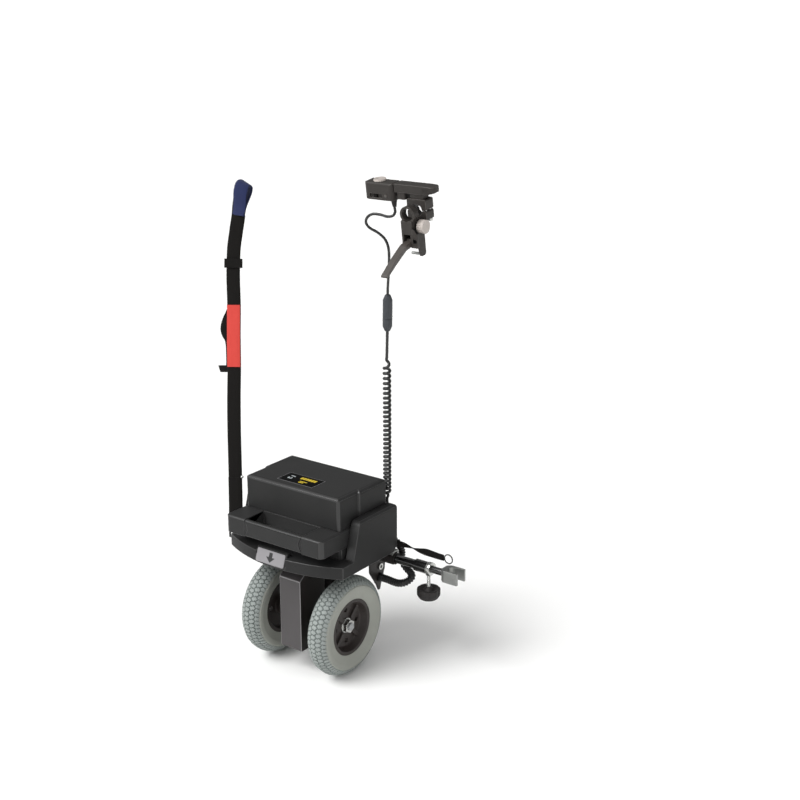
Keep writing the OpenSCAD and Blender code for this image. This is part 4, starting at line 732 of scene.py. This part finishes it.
def tyre(side):
    """A tyre with its tread, on the right for side 1 and on the left for side -1."""
    name = "tyre_tread_right" if side > 0 else "tyre_tread_left"
    profile = []
    for degrees in range(-section_end, section_end + 1, section_step):
        near = min(1, max(0, (tread_end - abs(degrees)) / tread_ramp))
        line = line_depth if abs(degrees) == line_at else 0
        profile.append(section(math.radians(degrees), groove * near + line))
    made = spun([(-bead_x, bead_r)] + profile + [(bead_x, bead_r)], 96)
    for material in (rubber_wall, rubber_groove_shade):
        made.data.materials.append(material)
    # Faces near the crown, under and between the blocks, take the darker rubber: painted shade in the grooves
    for face in made.data.polygons:
        across, out = face.center.x / MM, math.hypot(face.center.y, face.center.z) / MM
        from_crown = math.degrees(math.atan2(abs(across) / bulge_x, (out - core_r) / bulge_r))
        face.material_index = 1 if from_crown < groove_shade_end else 0
    pitch_angle = TURN / blocks_round
    sector = []
    for row, column in enumerate(block_columns):
        block = block_at(column, 1 - 2 * (row % 2))
        block.data.materials.append(rubber_tread)
        block.data.transform(Matrix.Rotation((row % 2) * pitch_angle / 2, 4, "X"))
        sector.append(block)
    take(*sector)
    bpy.ops.object.join()
    tread = bpy.context.object
    turn = bpy.data.objects.new("turn", None)
    bpy.context.scene.collection.objects.link(turn)
    turn.rotation_euler = (pitch_angle, 0, 0)
    round_all = tread.modifiers.new("round", "ARRAY")
    round_all.use_relative_offset = False
    round_all.use_object_offset = True
    round_all.offset_object = turn
    round_all.count = blocks_round
    bpy.context.view_layer.update()
    take(tread)
    bpy.ops.object.modifier_apply(modifier="round")
    bpy.data.objects.remove(turn)
    take(made, tread)
    bpy.ops.object.join()
    made.name = name
    made.data.transform(Matrix.Translation(at(wheel_x * side, 0, axle_z)))
    take(made)
    bpy.ops.object.shade_smooth_by_angle(angle=math.radians(35))
    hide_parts("tyre_right" if side > 0 else "tyre_left")
    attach(made, "wheel_set")


tyre(1)
tyre(-1)

# The foot plate's face: its foot on the rim, its slope up and ahead, half its height and its thickness
plate_foot = at(-10, -109.5, 242)
slope = Vector((0, 10, 27)).normalized()
plate_half, plate_thick = 13.9, 1.2
face_out = Vector((0, -slope.z, slope.y))
middle = plate_foot + slope * plate_half * MM + face_out * plate_thick * MM
tilt = Matrix((
    (1, 0, 0, middle.x),
    (0, slope.y, face_out.y, middle.y),
    (0, slope.z, face_out.z, middle.z),
    (0, 0, 0, 1)))
# A plain arrow on the plate shows which way the foot goes
arrow = prism([(-4, 9.5), (4, 9.5), (4, 0.5), (10.5, 0.5), (0, -9.5), (-10.5, 0.5), (-4, 0.5)], 0.2)
finish(arrow, "foot_arrow", ink_dark, "drive_unit", tilt)

# Lid panel: a gloss film with a grey border, a charge gauge and plain marks
panel_x, panel_y, lid_top = -7, -14.5, 385
panel_half, panel_deep, film_thick, border = 43, 20.5, 0.35, 0.7
ink_thick = 0.12


def bar(x0, y0, x1, y1, height):
    """A flat bar from its left, low, right and high edge in mm, its top face left selected."""
    return prism([(x0, y0), (x1, y0), (x1, y1), (x0, y1)], height)


film = bar(-panel_half, -panel_deep, panel_half, panel_deep, film_thick)
bpy.ops.mesh.inset(thickness=border * MM, depth=0)
bpy.ops.object.mode_set(mode="OBJECT")
film.data.materials.append(film_border)
film.data.materials.append(film_black)
for face in film.data.polygons:
    is_field = face.normal.z > 0.9 and face.area > 0.001
    face.material_index = 1 if is_field else 0
finish(film, "lid_panel", film_black, "battery_pack",
       Matrix.Translation(at(panel_x, panel_y, lid_top)))


def print_marks(name, boxes, material):
    """Plain printed bars on the panel, each from its edges in mm."""
    bars = []
    for box in boxes:
        bars.append(bar(*box, ink_thick))
        bpy.ops.object.mode_set(mode="OBJECT")
    take(*bars)
    bpy.ops.object.join()
    finish(bars[0], name, material, "battery_pack",
           Matrix.Translation(at(panel_x, panel_y, lid_top + film_thick)))


cells, cell_pitch = 6, 6.4
gauge = [(-6 + cell_pitch * i, 3, -0.8 + cell_pitch * i, 12) for i in range(cells)]
print_marks("lid_gauge", gauge + [(2, -8, 20, -5), (2, -13, 14, -10)], ink_yellow)
print_marks("lid_marks", [(-30, 6, -20, 8.4), (-30, -6, -27.6, 0), (-23, -6, -20.6, 0),
                          (-27.6, -6, -23, -3.8)], ink_white)

# Screws: a button head with a round socket, modelled once and copied
head_r, head_h, head_sides = 4.2, 2.4, 24
head_top, socket_wall, socket_depth = 0.72, 1.0, 1.2
head_turns = [TURN * i / head_sides for i in range(head_sides)]
screw = prism([(head_r * math.cos(a), head_r * math.sin(a)) for a in head_turns], head_h * 0.6)
bpy.ops.mesh.extrude_region_move(TRANSFORM_OT_translate={"value": (0, 0, head_h * 0.4 * MM)})
bpy.ops.transform.resize(value=(head_top, head_top, 1))
bpy.ops.mesh.inset(thickness=socket_wall * MM, depth=0)
bpy.ops.mesh.extrude_region_move(TRANSFORM_OT_translate={"value": (0, 0, -socket_depth * MM)})
plate_under, screw_x, screw_rear, screw_front = 235, 80, -40, 75
down = Matrix.Rotation(math.pi, 4, "X")
first = at(screw_x, screw_rear, plate_under)
finish(screw, "plate_screw_a", zinc, "drive_unit", Matrix.Translation(first) @ down, 0.25)
for label, x, y in (("b", -screw_x, screw_rear), ("c", screw_x, screw_front), ("d", -screw_x, screw_front)):
    twin(screw, "plate_screw_" + label, "drive_unit",
         Matrix.Translation(at(x, y, plate_under) - first))

# Zinc caps on the collars' outer ends
cap_shape = [(203.5, 12.05), (203.5, 12.9), (212.9, 12.9), (212.9, 7.4), (212.1, 7.4), (212.1, 12.05)]
cap = finish(spun(cap_shape), "collar_cap_right", zinc, "chair_mount", Matrix(), 0.25)
twin(cap, "collar_cap_left", "chair_mount", MIRROR_X)

# Studs of the clamp knobs, their threads drawn as plain rings
stud_x, stud_top, stud_foot = 205, -13.2, -39.5
thread, root_r, crest_r, core = 1.0, 3.05, 3.35, 2.6
thread_shape = [(stud_foot, core)]
for i in range(int((stud_top - stud_foot) / thread)):
    thread_shape += [(stud_foot + thread * i, root_r), (stud_foot + thread * (i + 0.5), crest_r)]
thread_shape += [(stud_top, root_r), (stud_top, core)]
upright = Matrix.Rotation(math.radians(-90), 4, "Y")
stud = finish(spun(thread_shape, 20), "knob_stud_right", zinc, "knob_right",
              Matrix.Translation((stud_x * MM, 0, 0)) @ upright)
twin(stud, "knob_stud_left", "knob_left", Matrix.Translation((-2 * stud_x * MM, 0, 0)))

# Bright ferrules in the ends of the cross tube
cross_tube = at(0, 106, 187)
ferrule_shape = [(90.5, 3.2), (90.5, 4.05), (92, 4.05), (92, 6.6), (93.2, 6.6), (93.2, 3.2)]
ferrule = finish(spun(ferrule_shape, 32), "cross_ferrule_right", zinc, "drive_unit",
                 Matrix.Translation(cross_tube), 0.2)
twin(ferrule, "cross_ferrule_left", "drive_unit", MIRROR_X)

# Head of the steel pin at the top of the strap's doubled foot
pin_shape = [(13.5, 0.2), (13.5, 2.2), (14.3, 2.7), (17, 2.7), (17.8, 2.1), (17.8, 0.2)]
pin_at = foot_path[-1].lerp(foot_path[-2], -0.4)
pin_turn = Matrix.Rotation(math.atan2(strap_side.y, strap_side.x), 4, "Z")
pin = finish(spun(pin_shape, 16), "strap_pin", zinc, None,
             Matrix.Translation(pin_at + Vector((0, -0.9 * MM, 0))) @ pin_turn)
hang(pin)

# Two rows of stitches across the loop's foot
stitches, stitch_pitch, row_pitch = 11, 2.5, 3.4
sewn = []
for row in range(2):
    for i in range(stitches):
        x, y = stitch_pitch * (i - (stitches - 1) / 2), 0.2 + row_pitch * row
        sewn.append(prism([(x - 0.85, y), (x + 0.85, y), (x + 0.6, y + 0.7), (x - 0.6, y + 0.7)], 0.5))
        bpy.ops.object.mode_set(mode="OBJECT")
take(*sewn)
bpy.ops.object.join()
finish(sewn[0], "loop_stitches", thread_blue, "chair_mount",
       tip @ Matrix.Translation((0, -2.8 * MM, 0)) @ UP_TO_Y)

# Handset: its own axes in mm, on the axis of its clamp's bore
bore_place, handset_tilt = at(215, 62, 917), math.radians(8.5)
handset = Matrix.Translation(bore_place) @ Matrix.Rotation(handset_tilt, 4, "X")


def on_handset(x, y, z):
    """A place on the handset, in its own axes."""
    return handset @ Matrix.Translation(Vector((x, y, z)) * MM)


# Finger ridges on the arm's rear face
arm_low, arm_end, arm_rear = 31, 38, -12
ridge_count, ridge_pitch, ridge_half, ridge_height = 6, 3, 0.8, 0.7
ridges = []
for i in range(ridge_count):
    x = arm_end - 8 - ridge_pitch * i
    ridges.append(bar(x - ridge_half, 1, x + ridge_half, 9, ridge_height))
    bpy.ops.transform.resize(value=(0.6, 0.96, 1))
    bpy.ops.object.mode_set(mode="OBJECT")
take(*ridges)
bpy.ops.object.join()
finish(ridges[0], "arm_ridges", nylon_handset, "chair_mount",
       on_handset(0, arm_rear + 0.05, arm_low) @ UP_TO_Y)

# Indicator lens low on the pod's rear face
lens_dome = spun([(0, 0.05), (0, 3.0), (0.8, 2.9), (1.3, 1.8), (1.5, 0.05)], 24)
finish(lens_dome, "pod_lens", lens_smoke, "chair_mount",
       on_handset(-62, -15, 21) @ Matrix.Rotation(math.radians(-90), 4, "Z"))

# Pointer line on the dial
dial_x, dial_top, pointer_turn = -83, 47.3, math.radians(150)
finish(bar(-0.5, 3, 0.5, 10.5, 0.2), "dial_pointer", ink_dark, "dial",
       on_handset(dial_x, 0, dial_top) @ Matrix.Rotation(pointer_turn, 4, "Z"))

# Cover beside the lever's box, with a square recess; the recess's faces are near black, a painted shade
cover_deep, cover_wall, recess_deep, recess_down = 6, 1.4, 3, 4.5
cover = prism([(11, -57), (21, -57), (21, -31), (15, -23), (11, -23)], cover_deep)
bpy.ops.mesh.inset(thickness=cover_wall * MM, depth=0)
bpy.ops.transform.resize(value=(1, 0.2, 1))
bpy.ops.transform.translate(value=(0, -recess_down * MM, 0))
bpy.ops.mesh.extrude_region_move(TRANSFORM_OT_translate={"value": (0, 0, -recess_deep * MM)})
bpy.ops.object.mode_set(mode="OBJECT")
cover.data.materials.append(nylon_handset)
cover.data.materials.append(recess_painted_shade)
for face in cover.data.polygons:
    in_recess = 2.5 < face.center.z / MM < 5.5 and 12 < face.center.x / MM < 20
    face.material_index = 1 if in_recess else 0
finish(cover, "lever_cover", nylon_handset, "chair_mount",
       on_handset(0, -40, 0) @ UP_TO_Y, 0.7)

# Cable end below the handset's plate
nipple = spun([(-14, 0.1), (-14, 1.8), (-13.4, 2.5), (7.4, 2.5), (7.4, 0.1)], 24)
finish(nipple, "cable_nipple", zinc_dull, "chair_mount", on_handset(3, -21, -75))

# Studio: a white floor to the horizon, a broad sun high on the camera's left, a sky that is brighter on the
# sun's side, and a softbox on the right for the edges
bpy.ops.object.select_all(action="DESELECT")
bpy.ops.mesh.primitive_plane_add(size=900, location=at(0, 0, 0))
floor = bpy.context.object
floor.name = "studio_floor"
paper, tree, shader, place = new_material("studio_paper")
shader.inputs["Base Color"].default_value = tone("fbfbfa")
shader.inputs["Roughness"].default_value = 1.0
shader.inputs["Specular IOR Level"].default_value = 0.0
floor.data.materials.append(paper)
world = bpy.data.worlds.new("studio")
bpy.context.scene.world = world
world.use_nodes = True
tree = world.node_tree
sky = add(tree, "ShaderNodeTexCoord").outputs["Generated"]
bright_side = Vector((-0.35, -0.62, 0.70))
facing = add(tree, "ShaderNodeVectorMath", {0: sky, 1: bright_side}, operation="DOT_PRODUCT")
glow = add(tree, "ShaderNodeMapRange",
           {"Value": facing.outputs["Value"], "From Min": -0.3, "From Max": 1.0,
            "To Min": 0.08, "To Max": 0.78})
# A white band along the horizon takes the floor up into the backdrop
height = add(tree, "ShaderNodeSeparateXYZ", {0: sky}).outputs["Z"]
band = add(tree, "ShaderNodeMapRange",
           {"Value": height, "From Min": 0.09, "From Max": 0.17, "To Min": 1.0, "To Max": 0.0})
backdrop = add(tree, "ShaderNodeMath", {0: glow.outputs[0], 1: band.outputs[0]}, operation="MAXIMUM")
tree.links.new(backdrop.outputs[0], tree.nodes["Background"].inputs["Strength"])
tree.nodes["Background"].inputs["Color"].default_value = (1, 1, 1, 1)


def lamp(kind, name, place, target, power):
    """A lamp at a place in mm, turned to a target."""
    light = bpy.data.lights.new(name, kind)
    light.energy = power
    obj = bpy.data.objects.new(name, light)
    obj.location = at(*place)
    obj.rotation_euler = (at(*target) - at(*place)).to_track_quat("-Z", "Y").to_euler()
    bpy.context.scene.collection.objects.link(obj)
    return light


sun = lamp("SUN", "broad_sun", (-850, -1700, 2200), (0, 0, 200), 2.7)
sun.angle = math.radians(35)
edge_box = lamp("AREA", "edge_softbox", (2300, -700, 1500), (0, 0, 350), 9)
edge_box.shape = "DISK"
edge_box.size = 0.7
bpy.context.scene.view_settings.view_transform = "Standard"
